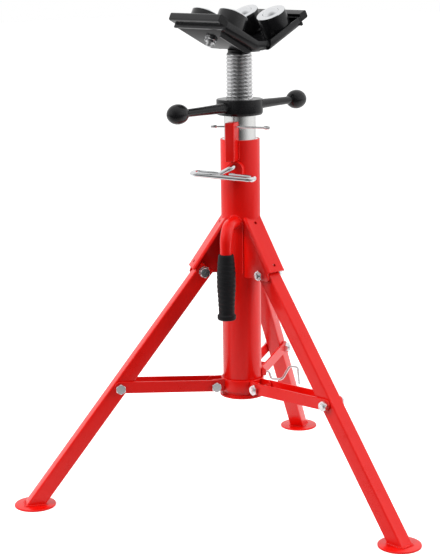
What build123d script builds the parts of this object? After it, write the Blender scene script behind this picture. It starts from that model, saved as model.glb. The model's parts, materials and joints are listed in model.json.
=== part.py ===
from build123d import *
from math import atan2, cos, degrees, hypot, radians, sin, tan
import os

os.makedirs("parts", exist_ok=True)

# Folding pipe stand: three folding legs, a telescoping column with a screw
# jack in its top and a V-shaped ball-transfer head on the screw.
# Millimetres, +Z up, floor at z = 0, column axis on Z. The trough of the
# head lies along Y and its wings spread along X.

# Legs stand a third of a turn apart; the handles sit opposite the first.
FIRST_LEG_ANGLE = 30.0
LEG_TURNS = {name: FIRST_LEG_ANGLE + 360.0 * n / 3 for n, name in enumerate("abc")}
HANDLE_ANGLE = FIRST_LEG_ANGLE + 180.0
PIN_ANGLE = HANDLE_ANGLE + 3.5
LOCK_ANGLE = FIRST_LEG_ANGLE - 60.0

# Fits: running is radial, on shafts that turn or slide; clear is the least
# gap between faces of parts that move past each other without guiding; the
# knee bolt passes the leg, and the height pin the tube, with a little more.
RUNNING = 0.06
CLEAR = 0.3
KNEE_CLEAR = 0.4
HOLE_CLEAR = 0.2

# How far a cutting tool runs past the face that it cuts.
CUT = 8.0

# Bolts: one size of shank, hexagon and head throughout.
BOLT_R = 5.0
HEX_ACROSS = 15.0
HEX_TALL = 5.5
THREAD_SHOWN = 2.5

# Column: round tube on a base disc.
COLUMN_R = 31.75
COLUMN_WALL = 3.2
COLUMN_BORE_R = COLUMN_R - COLUMN_WALL
BASE_R = COLUMN_R + 5.55
BASE_UNDER = 165.5
BASE_THICK = 3.0
COLUMN_FOOT = BASE_UNDER + BASE_THICK
COLUMN_LONG = 423.5
COLUMN_TOP = COLUMN_FOOT + COLUMN_LONG
WELD_DEPTH = 11.75
WELD_IN = COLUMN_R - WELD_DEPTH

# Leg pivot, leg and foot in a leg's own upright plane (radius, height).
PIVOT_R = COLUMN_R + 32.45
PIVOT_Z = 378.8
LEG_ANGLE = 37.36
FOLDED_ANGLE = 5.5
LEG_SIDE = 25.4
LEG_WALL = 2.5
LEG_FILLET = 2.0
LEG_HEAD = 9.0
FOOT_R = 33.8
FOOT_THICK = 3.0
FOOT_IN = 0.5
FOOT_CENTRE = PIVOT_R + (PIVOT_Z - FOOT_THICK) * tan(radians(LEG_ANGLE)) - FOOT_IN

# Sliding collar and the folding linkage.
KNEE_S = 234.2
COLLAR_LOW = COLUMN_FOOT + 7.5
COLLAR_TALL = 20.0
COLLAR_HIGH = COLLAR_LOW + COLLAR_TALL
COLLAR_WALL = 3.4
COLLAR_R = COLUMN_R + RUNNING + COLLAR_WALL
COLLAR_PIVOT_R = COLUMN_R + 15.75
COLLAR_PIVOT_Z = COLLAR_LOW + 8.5
LINK_HALF = LEG_SIDE / 2 + 3.7
LINK_WALL = 3.0
LINK_INSIDE = LINK_HALF - LINK_WALL
LINK_BELOW = 8.0
LINK_ABOVE = 11.0
LINK_END = (LINK_BELOW + LINK_ABOVE) / 2
LUG_OUT = LINK_INSIDE - 0.4
LUG_THICK = 3.0
LUG_REACH = COLLAR_PIVOT_R + 10.5

# Telescoping tube, screw and handwheel hub.
TUBE_R = 25.4
TUBE_WALL = 3.2
TUBE_BORE_R = TUBE_R - TUBE_WALL
TUBE_SHOWN = 38.3
TUBE_TOP = COLUMN_TOP + TUBE_SHOWN
FOOT_RING_TALL = 18.0
HEIGHT_STEP = 50.0
HEIGHT_HOLES = 7
PIN_Z = COLUMN_TOP - 40.5
PIN_R = 4.0
SCREW_R = TUBE_BORE_R - 0.8
SCREW_PITCH = 6.0
SCREW_BORE_R = SCREW_R - 8.4
SCREW_LOW = TUBE_TOP - 70.3
STOP_HEIGHT = 8.0
HUB_R = TUBE_R + 11.9
HUB_TALL = 25.2
HUB_TOP = TUBE_TOP + HUB_TALL
SCREW_SHOWN = 72.9
SCREW_TOP = HUB_TOP + SCREW_SHOWN
ARM_ANGLE = 7.0
ARM_Z = TUBE_TOP + HUB_TALL / 2 + 0.1
KNOB_OUT = 145.0

# Head: a V plate with a flat fold, wings rising at WING_ANGLE.
FLANGE_THICK = 5.0
HEAD_UNDER = SCREW_TOP + FLANGE_THICK
FOLD_HALF = 15.0
WING_ANGLE = 27.5
HEAD_PLATE = 5.0
HEAD_WALL = 15.0
EDGE_WALL = 3.0
UNIT_R = 23.6
UNIT_X = FOLD_HALF + 40.0
UNIT_Y = UNIT_R + 7.9
UNIT_BODY = 33.0
UNIT_FACE = UNIT_BODY + 1.5
BALL_R = 16.0
BALL_SUNK = 9.0
WING_REACH = UNIT_X + UNIT_R + 3.4
HEAD_HALF = UNIT_Y + UNIT_R + EDGE_WALL + 0.4


def save(shape, name):
    shape.label = name
    export_step(shape, f"parts/{name}.step")


def cyl(radius, z0, z1, x=0.0, y=0.0):
    """Upright round bar between two heights."""
    return Pos(x, y, z0) * extrude(Circle(radius), amount=z1 - z0)


def tube(outer, inner, z0, z1):
    """Upright round tube between two heights."""
    return Pos(0, 0, z0) * extrude(Circle(outer) - Circle(inner), amount=z1 - z0)


def radial(bearing, radius=0.0, z=0.0):
    """Place whose X points outward at the bearing and Y tangentially."""
    return Rot(0, 0, bearing) * Pos(radius, 0, z)


def cross_bar(radius, r, z, t0, t1):
    """Round bar along the tangential direction, in a leg's own frame."""
    bar = extrude(Circle(radius), amount=t1 - t0)
    return Pos(r, t0, z) * Rot(-90, 0, 0) * bar


def out_bar(radius, x0, x1, z):
    """Round bar along the outward direction."""
    bar = extrude(Circle(radius), amount=x1 - x0)
    return Pos(x0, 0, z) * Rot(0, 90, 0) * bar


def hexagon(across, r, z, t0, t1):
    """Hexagonal prism along the tangential direction."""
    flat = RegularPolygon(across / 2, 6, major_radius=False)
    return Pos(r, t0, z) * Rot(-90, 0, 0) * extrude(flat, amount=t1 - t0)


def out_box(x0, x1, half, z0, z1):
    """Block between two distances outward and two heights."""
    sides = (Align.MIN, Align.CENTER, Align.MIN)
    return Pos(x0, 0, z0) * Box(x1 - x0, 2 * half, z1 - z0, align=sides)


def hung_box(wide, deep, tall, top):
    """Block centred on the axis whose top is at a height."""
    sides = (Align.CENTER, Align.CENTER, Align.MAX)
    return Pos(0, 0, top) * Box(wide, deep, tall, align=sides)


def side_plate(points, t0, t1):
    """Plate whose outline is in the (radius, height) plane."""
    face = make_face(Polyline(*[(r, z) for r, z in points], close=True))
    upright = Plane.XZ.offset(-t1) * face
    return extrude(upright, amount=t1 - t0)


def bent(points, bend, wire_r):
    """Round bar bent at each inner point with one bend radius."""
    pts = [Vector(*p) for p in points]
    edges = []
    start = pts[0]
    for before, corner, after in zip(pts, pts[1:], pts[2:]):
        a = (before - corner).normalized()
        b = (after - corner).normalized()
        half = radians(a.get_angle(b)) / 2
        cut = bend / tan(half)
        middle = (a + b).normalized()
        p = corner + a * cut
        q = corner + b * cut
        top = corner + middle * (bend / sin(half) - bend)
        edges.append(Edge.make_line(start, p))
        edges.append(Edge.make_three_point_arc(p, top, q))
        start = q
    edges.append(Edge.make_line(start, pts[-1]))
    path = Wire(edges)
    first = Plane(origin=pts[0], z_dir=pts[1] - pts[0])
    return sweep(first * Circle(wire_r), path=path)


# Rest and folded positions of the linkage, from the lengths of its members.
leg_rest = radians(LEG_ANGLE)
knee_r = PIVOT_R + KNEE_S * sin(leg_rest)
knee_z = PIVOT_Z - KNEE_S * cos(leg_rest)
link_length = hypot(knee_r - COLLAR_PIVOT_R, knee_z - COLLAR_PIVOT_Z)
link_rest = degrees(atan2(knee_z - COLLAR_PIVOT_Z, knee_r - COLLAR_PIVOT_R))
fold_r = PIVOT_R + KNEE_S * sin(radians(FOLDED_ANGLE))
fold_z = PIVOT_Z - KNEE_S * cos(radians(FOLDED_ANGLE))
folded_rise = (link_length**2 - (fold_r - COLLAR_PIVOT_R) ** 2) ** 0.5
collar_travel = fold_z + folded_rise - COLLAR_PIVOT_Z

# The column: an open tube standing on the base disc. Its upper bore takes
# the guide bush; the pin bore and the two lock holes are drilled in one wall.
LOCK_R = 3.0
LOCK_Z = COLLAR_HIGH + 4.0
column = tube(COLUMN_R, COLUMN_BORE_R, COLUMN_FOOT, COLUMN_TOP)
column -= radial(PIN_ANGLE) * out_bar(PIN_R + RUNNING, WELD_IN, COLUMN_R + CUT, PIN_Z)
for z in (LOCK_Z, LOCK_Z + collar_travel):
    column -= radial(LOCK_ANGLE) * out_bar(LOCK_R + RUNNING, WELD_IN, COLUMN_R + CUT, z)
save(column, "column_tube")

RIM_CHAMFER = 0.6
base = cyl(BASE_R, BASE_UNDER, COLUMN_FOOT)
base = chamfer(base.edges().filter_by(GeomType.CIRCLE), RIM_CHAMFER)
save(base, "base_disc")

BUSH_LONG = 20.0
bush = tube(COLUMN_BORE_R, TUBE_R + RUNNING, COLUMN_TOP - BUSH_LONG, COLUMN_TOP)
save(bush, "guide_bush")

# Guide bar: a short bar welded upright on the column's top edge, drilled
# across for the sliding rod.
GUIDE_HALF = 7.4
GUIDE_OUT = COLUMN_R + 24.25
GUIDE_LOW = COLUMN_TOP - 31.0
GUIDE_HIGH = COLUMN_TOP + 30.0
GUIDE_CHAMFER = 1.0
ROD_R = 1.6
ROD_Z = GUIDE_HIGH - 7.0
ROD_OUT = GUIDE_OUT - 12.0
column_solid = cyl(COLUMN_R, COLUMN_FOOT, GUIDE_HIGH + CUT)
guide = out_box(WELD_IN, GUIDE_OUT, GUIDE_HALF, GUIDE_LOW, GUIDE_HIGH)
guide = chamfer(guide.edges().filter_by(Axis.Z).group_by(Axis.X)[-1], GUIDE_CHAMFER)
guide -= column_solid
guide -= cross_bar(ROD_R + RUNNING, ROD_OUT, ROD_Z, -GUIDE_HALF - CUT, GUIDE_HALF + CUT)
save(radial(HANDLE_ANGLE) * guide, "guide_bar")

# Cross rod: thin rod with a pressed-on ferrule at either end, loose in the
# guide bar.
ROD_SHIFT = 14.5
ROD_HALF = 48.3
FERRULE_R = 2.9
FERRULE_LONG = 9.5
rod = cross_bar(ROD_R, ROD_OUT, ROD_Z, ROD_SHIFT - ROD_HALF, ROD_SHIFT + ROD_HALF)
for end in (ROD_SHIFT - ROD_HALF, ROD_SHIFT + ROD_HALF - FERRULE_LONG):
    rod += cross_bar(FERRULE_R, ROD_OUT, ROD_Z, end, end + FERRULE_LONG)
save(radial(HANDLE_ANGLE) * rod, "cross_rod")

# Pin boss: arched block welded to the column, bored for the height pin.
BOSS_HALF = 14.0
BOSS_OUT = COLUMN_R + 8.25
BOSS_CENTRE = PIN_Z - 5.9
BOSS_LOW = BOSS_CENTRE - 13.6
arch = Rectangle(2 * BOSS_HALF, BOSS_CENTRE - BOSS_LOW, align=(Align.CENTER, Align.MAX))
arch += Circle(BOSS_HALF)
boss_face = Plane(origin=(WELD_IN, 0, BOSS_CENTRE), x_dir=(0, 1, 0), z_dir=(1, 0, 0))
boss = extrude(boss_face * arch, amount=BOSS_OUT - WELD_IN)
boss -= column_solid
boss -= out_bar(PIN_R + RUNNING, WELD_IN - CUT, BOSS_OUT + CUT, PIN_Z)
save(radial(PIN_ANGLE) * boss, "pin_boss")

# Height pin: one round bar. Its straight end is the pin; the rest is bent
# into a flat pull loop that hangs a little to one side. The tip stands just
# clear of the telescoping tube.
PIN_TIP = TUBE_R + 0.5
LOOP_BACK = BOSS_OUT + 12.0
LOOP_FRONT = LOOP_BACK + 24.0
LOOP_LEFT = -60.0
LOOP_RIGHT = 38.0
LOOP_DROP = 12.5
LOOP_TURN_IN = -20.0
LOOP_END = -4.0
LOOP_BEND = 9.0
LOOP_LEAN_ANGLE = 4.2
loop = bent(
    [
        (PIN_TIP, 0, 0),
        (LOOP_BACK, 0, 0),
        (LOOP_BACK, LOOP_TURN_IN, -LOOP_DROP),
        (LOOP_BACK, LOOP_LEFT, -LOOP_DROP),
        (LOOP_FRONT, LOOP_LEFT, -LOOP_DROP),
        (LOOP_FRONT, LOOP_RIGHT, -LOOP_DROP),
        (LOOP_BACK, LOOP_RIGHT, -LOOP_DROP),
        (LOOP_BACK, LOOP_END, -LOOP_DROP),
    ],
    LOOP_BEND,
    PIN_R,
)
save(radial(PIN_ANGLE, 0, PIN_Z) * Rot(-LOOP_LEAN_ANGLE, 0, 0) * loop, "height_pin")

# Carry handle: a tube welded square to the column, bent down and finished
# with a moulded grip, which is a barrel with a flange on its lower end.
HANDLE_R = 9.5
HANDLE_BEND = 26.0
HANDLE_OUT = COLUMN_R + 47.25
HANDLE_DROP = 131.0
HANDLE_Z = COLUMN_TOP - HANDLE_DROP
GRIP_TOP = HANDLE_Z - 44.0
GRIP_LONG = 106.0
GRIP_LOW = GRIP_TOP - GRIP_LONG
GRIP_SWELL = 32.0
GRIP_FULL = 52.0
GRIP_END = 4.0
GRIP_NECK_R = HANDLE_R + 2.8
GRIP_WAIST_R = HANDLE_R + 3.1
GRIP_FLANGE_R = HANDLE_R + 5.4
GRIP_BARREL_R = HANDLE_R + 5.9
handle_line = [
    (WELD_IN, 0, HANDLE_Z),
    (HANDLE_OUT, 0, HANDLE_Z),
    (HANDLE_OUT, 0, GRIP_LOW + GRIP_END),
]
handle = bent(handle_line, HANDLE_BEND, HANDLE_R) - column_solid
save(radial(HANDLE_ANGLE) * handle, "carry_tube")

grip_line = [
    (0, GRIP_TOP),
    (GRIP_NECK_R, GRIP_TOP),
    (GRIP_BARREL_R - 0.2, GRIP_TOP - GRIP_SWELL),
    (GRIP_BARREL_R, GRIP_TOP - GRIP_FULL),
    (GRIP_WAIST_R, GRIP_LOW + 11.0),
    (GRIP_WAIST_R, GRIP_LOW + 9.0),
    (GRIP_FLANGE_R, GRIP_LOW + 8.0),
    (GRIP_FLANGE_R, GRIP_LOW),
    (0, GRIP_LOW),
]
grip = revolve(Plane.XZ * make_face(Polyline(*grip_line, close=True)), Axis.Z)
grip -= cyl(HANDLE_R, GRIP_LOW + GRIP_END, GRIP_TOP + CUT)
save(radial(HANDLE_ANGLE, HANDLE_OUT, 0) * grip, "handle_grip")

# Leg brackets: each is one plate bent to a U round the leg's top, welded to
# the column, with two small holes in its sloping front.
BRACKET_HALF = LEG_SIDE / 2 + 5.8
BRACKET_PLATE = 3.0
BRACKET_INSIDE = BRACKET_HALF - BRACKET_PLATE
BRACKET_TALL = 89.2
BRACKET_TOP = PIVOT_Z + BRACKET_TALL
BRACKET_LOW = PIVOT_Z - 8.2
LIP_Z = PIVOT_Z + 7.2
LIP_OUT = 20.6
LIP_R = PIVOT_R + LIP_OUT
TOP_R = COLUMN_R - 3.25
MOUTH_GAP = 0.5
RIVET_R = 2.6
slope = atan2(LIP_R - TOP_R, BRACKET_TOP - LIP_Z)
outline = [
    (WELD_IN, BRACKET_LOW),
    (LIP_R - 4.8, BRACKET_LOW),
    (LIP_R - 1.4, BRACKET_LOW + 3.9),
    (LIP_R, LIP_Z),
    (TOP_R, BRACKET_TOP),
    (WELD_IN, BRACKET_TOP),
]
lip_in = LIP_R - BRACKET_PLATE / cos(slope)
hollow = [
    (0, BRACKET_LOW - CUT),
    (lip_in, BRACKET_LOW - CUT),
    (lip_in, LIP_Z),
    (lip_in - (BRACKET_TOP + CUT - LIP_Z) * tan(slope), BRACKET_TOP + CUT),
    (0, BRACKET_TOP + CUT),
]
mouth = [
    (lip_in - 1, BRACKET_LOW - CUT),
    (LIP_R + CUT, BRACKET_LOW - CUT),
    (LIP_R + CUT, LIP_Z - MOUTH_GAP),
    (lip_in - 1, LIP_Z - MOUTH_GAP),
]
bracket = side_plate(outline, -BRACKET_HALF, BRACKET_HALF)
bracket -= side_plate(hollow, -BRACKET_INSIDE, BRACKET_INSIDE)
bracket -= side_plate(mouth, -BRACKET_INSIDE, BRACKET_INSIDE)
bracket -= column_solid
bracket -= cross_bar(BOLT_R, PIVOT_R, PIVOT_Z, -BRACKET_HALF - CUT, BRACKET_HALF + CUT)
for z in (BRACKET_TOP - 9.7, LIP_Z + 9.0):
    square_on = Pos(TOP_R + (BRACKET_TOP - z) * tan(slope), 0, z) * Rot(0, 90 - degrees(slope), 0)
    bracket -= square_on * cyl(RIVET_R, -CUT, CUT)

# Pivot bolts, washers and nuts: one of each per bracket (two washers), all
# three sets alike.
WASHER_R = 9.0
WASHER_IN = LEG_SIDE / 2 + CLEAR
SHANK_LOW = -BRACKET_HALF - HEX_TALL - THREAD_SHOWN
bolts = []
nuts = []
washers = []
for turn in LEG_TURNS.values():
    place = radial(turn)
    bolt = cross_bar(BOLT_R, PIVOT_R, PIVOT_Z, SHANK_LOW, BRACKET_HALF)
    bolt += hexagon(HEX_ACROSS, PIVOT_R, PIVOT_Z, BRACKET_HALF, BRACKET_HALF + HEX_TALL)
    bolts.append(place * bolt)
    shank = cross_bar(BOLT_R, PIVOT_R, PIVOT_Z, SHANK_LOW - CUT, BRACKET_HALF)
    nut = hexagon(HEX_ACROSS, PIVOT_R, PIVOT_Z, -BRACKET_HALF - HEX_TALL, -BRACKET_HALF)
    nuts.append(place * (nut - shank))
    for t0, t1 in ((-BRACKET_INSIDE, -WASHER_IN), (WASHER_IN, BRACKET_INSIDE)):
        washers.append(place * (cross_bar(WASHER_R, PIVOT_R, PIVOT_Z, t0, t1) - shank))
save(Compound(children=bolts), "pivot_bolts")
save(Compound(children=nuts), "pivot_nuts")
save(Compound(children=washers), "pivot_washers")

# Legs: square tube cut level at the foot, with a round foot disc welded on.
leg_long = (PIVOT_Z - FOOT_THICK) / cos(leg_rest) + LEG_SIDE
leg = hung_box(LEG_SIDE, LEG_SIDE, leg_long + LEG_HEAD, LEG_HEAD)
leg = fillet(leg.edges().filter_by(Axis.Z), LEG_FILLET)
core = LEG_SIDE - 2 * LEG_WALL
leg -= hung_box(core, core, leg_long + LEG_HEAD, LEG_HEAD - LEG_WALL)
leg -= cross_bar(BOLT_R + RUNNING, 0, 0, -LEG_SIDE, LEG_SIDE)
leg -= cross_bar(BOLT_R + KNEE_CLEAR, 0, -KNEE_S, -LEG_SIDE, LEG_SIDE)
leg = Pos(PIVOT_R, 0, PIVOT_Z) * Rot(0, -LEG_ANGLE, 0) * leg
below = hung_box(4 * FOOT_R, 4 * FOOT_R, 4 * FOOT_R, FOOT_THICK)
leg -= Pos(FOOT_CENTRE, 0, 0) * below
foot = cyl(FOOT_R, 0, FOOT_THICK, FOOT_CENTRE)
foot = chamfer(foot.edges().filter_by(GeomType.CIRCLE), RIM_CHAMFER)

# Links: channels open upward, in the frame of the collar pivot at rest. The
# web stops short of the knee so the leg can lie in the channel when folded.
WEB_START = 15.0
WEB_BACK = 72.0
KNEE_TALL = 6.0
link = SlotOverall(link_length + 2 * LINK_END, LINK_ABOVE + LINK_BELOW)
link = Pos(link_length / 2, (LINK_ABOVE - LINK_BELOW) / 2) * link
link = extrude(Plane.XZ.offset(-LINK_HALF) * link, amount=2 * LINK_HALF)
far_end = link_length + LINK_END + CUT
link -= out_box(-LINK_END - CUT, far_end, LINK_INSIDE, -LINK_BELOW - CUT, LINK_ABOVE + CUT)
link += out_box(WEB_START, link_length - WEB_BACK, LINK_INSIDE, -LINK_BELOW, -LINK_BELOW + LINK_WALL)
link -= cross_bar(BOLT_R + RUNNING, 0, 0, -LINK_HALF - CUT, LINK_HALF + CUT)
link -= cross_bar(BOLT_R, link_length, 0, -LINK_HALF - CUT, LINK_HALF + CUT)
at_collar = Pos(COLLAR_PIVOT_R, 0, COLLAR_PIVOT_Z) * Rot(0, -link_rest, 0)
link = at_collar * link
knee_head = cross_bar(BOLT_R, link_length, 0, LINK_INSIDE, LINK_HALF)
knee_head += hexagon(HEX_ACROSS, link_length, 0, LINK_HALF, LINK_HALF + KNEE_TALL)
knee_nut = hexagon(HEX_ACROSS, link_length, 0, -LINK_HALF - KNEE_TALL, -LINK_HALF)
knee_nut += cross_bar(BOLT_R, link_length, 0, -LINK_HALF - KNEE_TALL - THREAD_SHOWN, -LINK_INSIDE)

# Sliding collar: a ring with three pairs of lugs between the links' walls,
# and a raised block that carries the lock pin.
COLLAR_HEX_TALL = 5.0
HEX_IN = LINK_HALF + CLEAR
HEX_OUT = HEX_IN + COLLAR_HEX_TALL
ring = tube(COLLAR_R, COLUMN_R + RUNNING, COLLAR_LOW, COLLAR_HIGH)
ring_solid = cyl(COLLAR_R, COLLAR_LOW - CUT, COLLAR_HIGH + CUT)
lug_outline = [
    (WELD_IN, COLLAR_LOW),
    (LUG_REACH - 3.0, COLLAR_LOW),
    (LUG_REACH, COLLAR_LOW + 3.0),
    (LUG_REACH, COLLAR_HIGH - 8.0),
    (LUG_REACH - 6.0, COLLAR_HIGH),
    (WELD_IN, COLLAR_HIGH),
]
lugs = []
collar_bolts = []
collar_nuts = []
for name, turn in LEG_TURNS.items():
    place = radial(turn)
    shank = cross_bar(BOLT_R, COLLAR_PIVOT_R, COLLAR_PIVOT_Z, -HEX_OUT - THREAD_SHOWN, HEX_IN)
    for t0, t1 in ((-LUG_OUT, -LUG_OUT + LUG_THICK), (LUG_OUT - LUG_THICK, LUG_OUT)):
        lugs.append(place * (side_plate(lug_outline, t0, t1) - ring_solid - shank))
    bolt = shank + hexagon(HEX_ACROSS, COLLAR_PIVOT_R, COLLAR_PIVOT_Z, HEX_IN, HEX_OUT)
    collar_bolts.append(place * bolt)
    nut = hexagon(HEX_ACROSS, COLLAR_PIVOT_R, COLLAR_PIVOT_Z, -HEX_OUT, -HEX_IN)
    collar_nuts.append(place * (nut - shank))
    save(place * bracket, f"bracket_{name}")
    save(place * leg, f"leg_tube_{name}")
    save(place * foot, f"foot_disc_{name}")
    save(place * link, f"link_{name}")
    stubs = [place * at_collar * knee_head, place * at_collar * knee_nut]
    save(Compound(children=stubs), f"knee_bolt_{name}")
save(ring, "collar_ring")
save(Compound(children=lugs), "collar_lugs")
save(Compound(children=collar_bolts), "collar_bolts")
save(Compound(children=collar_nuts), "collar_nuts")

LOCK_HALF = 8.0
LOCK_TALL = 11.0
LOCK_OUT = COLUMN_R + 7.25
lock_block = out_box(WELD_IN, LOCK_OUT, LOCK_HALF, COLLAR_HIGH, COLLAR_HIGH + LOCK_TALL)
lock_block -= cyl(COLUMN_R + RUNNING, COLLAR_HIGH - CUT, COLLAR_HIGH + LOCK_TALL + CUT)
lock_block -= out_bar(LOCK_R + RUNNING, WELD_IN, LOCK_OUT + CUT, LOCK_Z)
save(radial(LOCK_ANGLE) * lock_block, "lock_block")

# Lock pin: its end is turned to the pin size and the rest is bent wire. The
# wire stays straight for the pin's travel outside the block.
LOCK_TIP = COLUMN_R + 0.6
LOCK_WIRE_R = 2.0
LOCK_BEND = 4.5
lock_line = [
    (LOCK_TIP, 0, LOCK_Z),
    (LOCK_OUT + 6.6, 0, LOCK_Z),
    (LOCK_OUT + 10.5, 0, LOCK_Z - 13.0),
    (LOCK_OUT + 29.0, 0, LOCK_Z - 15.5),
    (LOCK_OUT + 42.0, 0, LOCK_Z + 6.5),
    (LOCK_OUT + 56.0, 0, LOCK_Z + 4.0),
    (LOCK_OUT + 58.5, 0, LOCK_Z - 25.5),
]
lock_wire = bent(lock_line, LOCK_BEND, LOCK_WIRE_R)
lock_wire += out_bar(LOCK_R, LOCK_TIP, LOCK_OUT + 1.5, LOCK_Z)
save(radial(LOCK_ANGLE) * lock_wire, "lock_pin")

# Telescoping tube: drilled in one wall for the height pin, with a guide ring
# on its foot and a key for the screw's slot near its top.
KEY_HIGH = TUBE_TOP - 5.3
KEY_LOW = KEY_HIGH - 25.0
KEY_HALF = 2.5
KEY_IN = SCREW_R - 2.6
KEY_ANGLE = FIRST_LEG_ANGLE
inner_tube = tube(TUBE_R, TUBE_BORE_R, COLUMN_FOOT, TUBE_TOP)
for step in range(HEIGHT_HOLES):
    z = PIN_Z - step * HEIGHT_STEP
    inner_tube -= radial(PIN_ANGLE) * out_bar(PIN_R + HOLE_CLEAR, TUBE_BORE_R - CUT, TUBE_R + CUT, z)
save(inner_tube, "inner_tube")
foot_ring = tube(COLUMN_BORE_R - RUNNING, TUBE_R, COLUMN_FOOT, COLUMN_FOOT + FOOT_RING_TALL)
save(foot_ring, "tube_foot_ring")
key = out_box(KEY_IN, TUBE_R, KEY_HALF, KEY_LOW, KEY_HIGH)
key -= tube(COLUMN_R, TUBE_BORE_R, KEY_LOW - CUT, KEY_HIGH + CUT)
save(radial(KEY_ANGLE) * key, "screw_key")

# Screw: hollow, slotted down its back for the key. Its thread is drawn as a
# row of rings at the real pitch. A ring on its foot stops it at the top of
# its travel, against the underside of the hub.
THREAD_DEEP = 1.6
ROOT_R = SCREW_R - THREAD_DEEP
CREST_FROM = 0.30 * SCREW_PITCH
CREST_TO = 0.66 * SCREW_PITCH
ROOT_FROM = 0.96 * SCREW_PITCH
PLAIN_END = 1.5
profile = [(SCREW_BORE_R, SCREW_LOW), (ROOT_R, SCREW_LOW)]
z = SCREW_LOW + STOP_HEIGHT + 2.0
profile.append((ROOT_R, z))
while z + SCREW_PITCH < SCREW_TOP - PLAIN_END:
    profile += [(SCREW_R, z + CREST_FROM), (SCREW_R, z + CREST_TO)]
    profile += [(ROOT_R, z + ROOT_FROM), (ROOT_R, z + SCREW_PITCH)]
    z += SCREW_PITCH
profile += [(ROOT_R, SCREW_TOP), (SCREW_BORE_R, SCREW_TOP)]
screw = revolve(Plane.XZ * make_face(Polyline(*profile, close=True)), Axis.Z)
slot_box = out_box(KEY_IN - CLEAR, COLUMN_R, KEY_HALF + 0.1, SCREW_LOW - CUT, SCREW_TOP + CUT)
slot = radial(KEY_ANGLE) * slot_box
save(screw - slot, "screw")
stop = tube(TUBE_BORE_R - CLEAR, ROOT_R, SCREW_LOW, SCREW_LOW + STOP_HEIGHT)
save(stop - slot, "stop_ring")

# Hub: a round nut on the tube's top, turned by two arms with oval knobs.
HUB_CHAMFER = 1.2
ARM_R = 6.5
ARM_ROOT = HUB_R - 11.3
ARM_END = KNOB_OUT + 8.0
KNOB_LONG_R = 20.5
KNOB_R = 15.3
hub = tube(HUB_R, SCREW_R + RUNNING, TUBE_TOP, HUB_TOP)
rims = hub.edges().filter_by(GeomType.CIRCLE).sort_by(SortBy.RADIUS)[-2:]
hub = chamfer(rims, HUB_CHAMFER)
arms = []
knobs = []
for turn in (ARM_ANGLE, ARM_ANGLE + 180):
    place = radial(turn)
    hub -= place * out_bar(ARM_R, ARM_ROOT, HUB_R + CUT, ARM_Z)
    arms.append(place * out_bar(ARM_R, ARM_ROOT, ARM_END, ARM_Z))
    half = Ellipse(KNOB_LONG_R, KNOB_R)
    half -= Rectangle(2 * KNOB_LONG_R, 2 * KNOB_R, align=(Align.CENTER, Align.MAX))
    knob = Pos(KNOB_OUT, 0, ARM_Z) * revolve(Plane.XZ * half, Axis.X)
    knobs.append(place * (knob - out_bar(ARM_R, ARM_ROOT, ARM_END, ARM_Z)))
save(hub, "hub")
save(Compound(children=arms), "hub_arms")
save(Compound(children=knobs), "hub_knobs")

# Head spigot: a flange under the V and a pin down the screw's bore.
FLANGE_R = 18.3
SPIGOT_R = SCREW_BORE_R - RUNNING
SPIGOT_LONG = 42.0
SPIGOT_CHAMFER = 1.5
spigot = cyl(FLANGE_R, SCREW_TOP, HEAD_UNDER) + cyl(SPIGOT_R, SCREW_TOP - SPIGOT_LONG, SCREW_TOP)
spigot = chamfer(spigot.faces().sort_by(Axis.Z)[0].edges(), SPIGOT_CHAMFER)
save(spigot, "head_spigot")

# Head plate: bent to a V with a flat fold, its two long edges turned up
# round a wide bend. At both ends of the fold a notch parts the two turned-up
# edges; the two notches are alike, half a turn apart.
tilt = radians(WING_ANGLE)


def is_under(edge):
    """Whether an edge lies along the underside of the V."""
    middle = edge.center()
    flat = abs(middle.X) < FOLD_HALF
    under = HEAD_UNDER if flat else HEAD_UNDER + (abs(middle.X) - FOLD_HALF) * tan(tilt)
    return abs(middle.Z - under) < 0.01


def band(n0, n1, reach):
    """Cross-section of the V between two depths above its underside."""
    def line(n):
        bend_x = FOLD_HALF - n * tan(tilt / 2)
        end_x = reach - n * sin(tilt)
        end_z = HEAD_UNDER + (reach - FOLD_HALF) * tan(tilt) + n * cos(tilt)
        low = HEAD_UNDER + n
        return [(-end_x, end_z), (-bend_x, low), (bend_x, low), (end_x, end_z)]
    return line(n0) + line(n1)[::-1]


EDGE_BEND = 5.0
NOTCH_FROM = 3.0
NOTCH_TO = 14.0
NOTCH_DEEP = 20.5
GAP_FROM = 7.0
SNIP_FROM = -12.0
SNIP_TO = 8.0
plate = side_plate(band(0, HEAD_PLATE, WING_REACH), -HEAD_HALF, HEAD_HALF)
for t0 in (-HEAD_HALF, HEAD_HALF - EDGE_WALL):
    plate += side_plate(band(0, HEAD_WALL, WING_REACH), t0, t0 + EDGE_WALL)
long_edges = plate.edges().filter_by(Axis.Y, reverse=True)
long_edges = [e for e in long_edges if abs(abs(e.center().Y) - HEAD_HALF) < 0.01]
under_edges = [e for e in long_edges if is_under(e)]
plate = chamfer(under_edges, EDGE_BEND)
notch_top = HEAD_UNDER + HEAD_WALL + CUT
notch = [
    (NOTCH_FROM, HEAD_UNDER - CUT),
    (NOTCH_TO, HEAD_UNDER - CUT),
    (NOTCH_TO, notch_top),
    (NOTCH_FROM, notch_top),
]
gap = [(max(x, GAP_FROM), z) for x, z in notch]
snip = [
    (SNIP_FROM, HEAD_UNDER),
    (SNIP_FROM, HEAD_UNDER - CUT),
    (SNIP_TO, HEAD_UNDER - CUT),
    (SNIP_TO, HEAD_UNDER + SNIP_TO),
]
near = side_plate(notch, -HEAD_HALF + EDGE_WALL, -HEAD_HALF + NOTCH_DEEP)
near += side_plate(gap, -HEAD_HALF - CUT, -HEAD_HALF + EDGE_WALL)
near += side_plate(snip, -HEAD_HALF - CUT, -HEAD_HALF + EDGE_WALL)
plate -= near
plate -= Rot(0, 0, 180) * near


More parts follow.
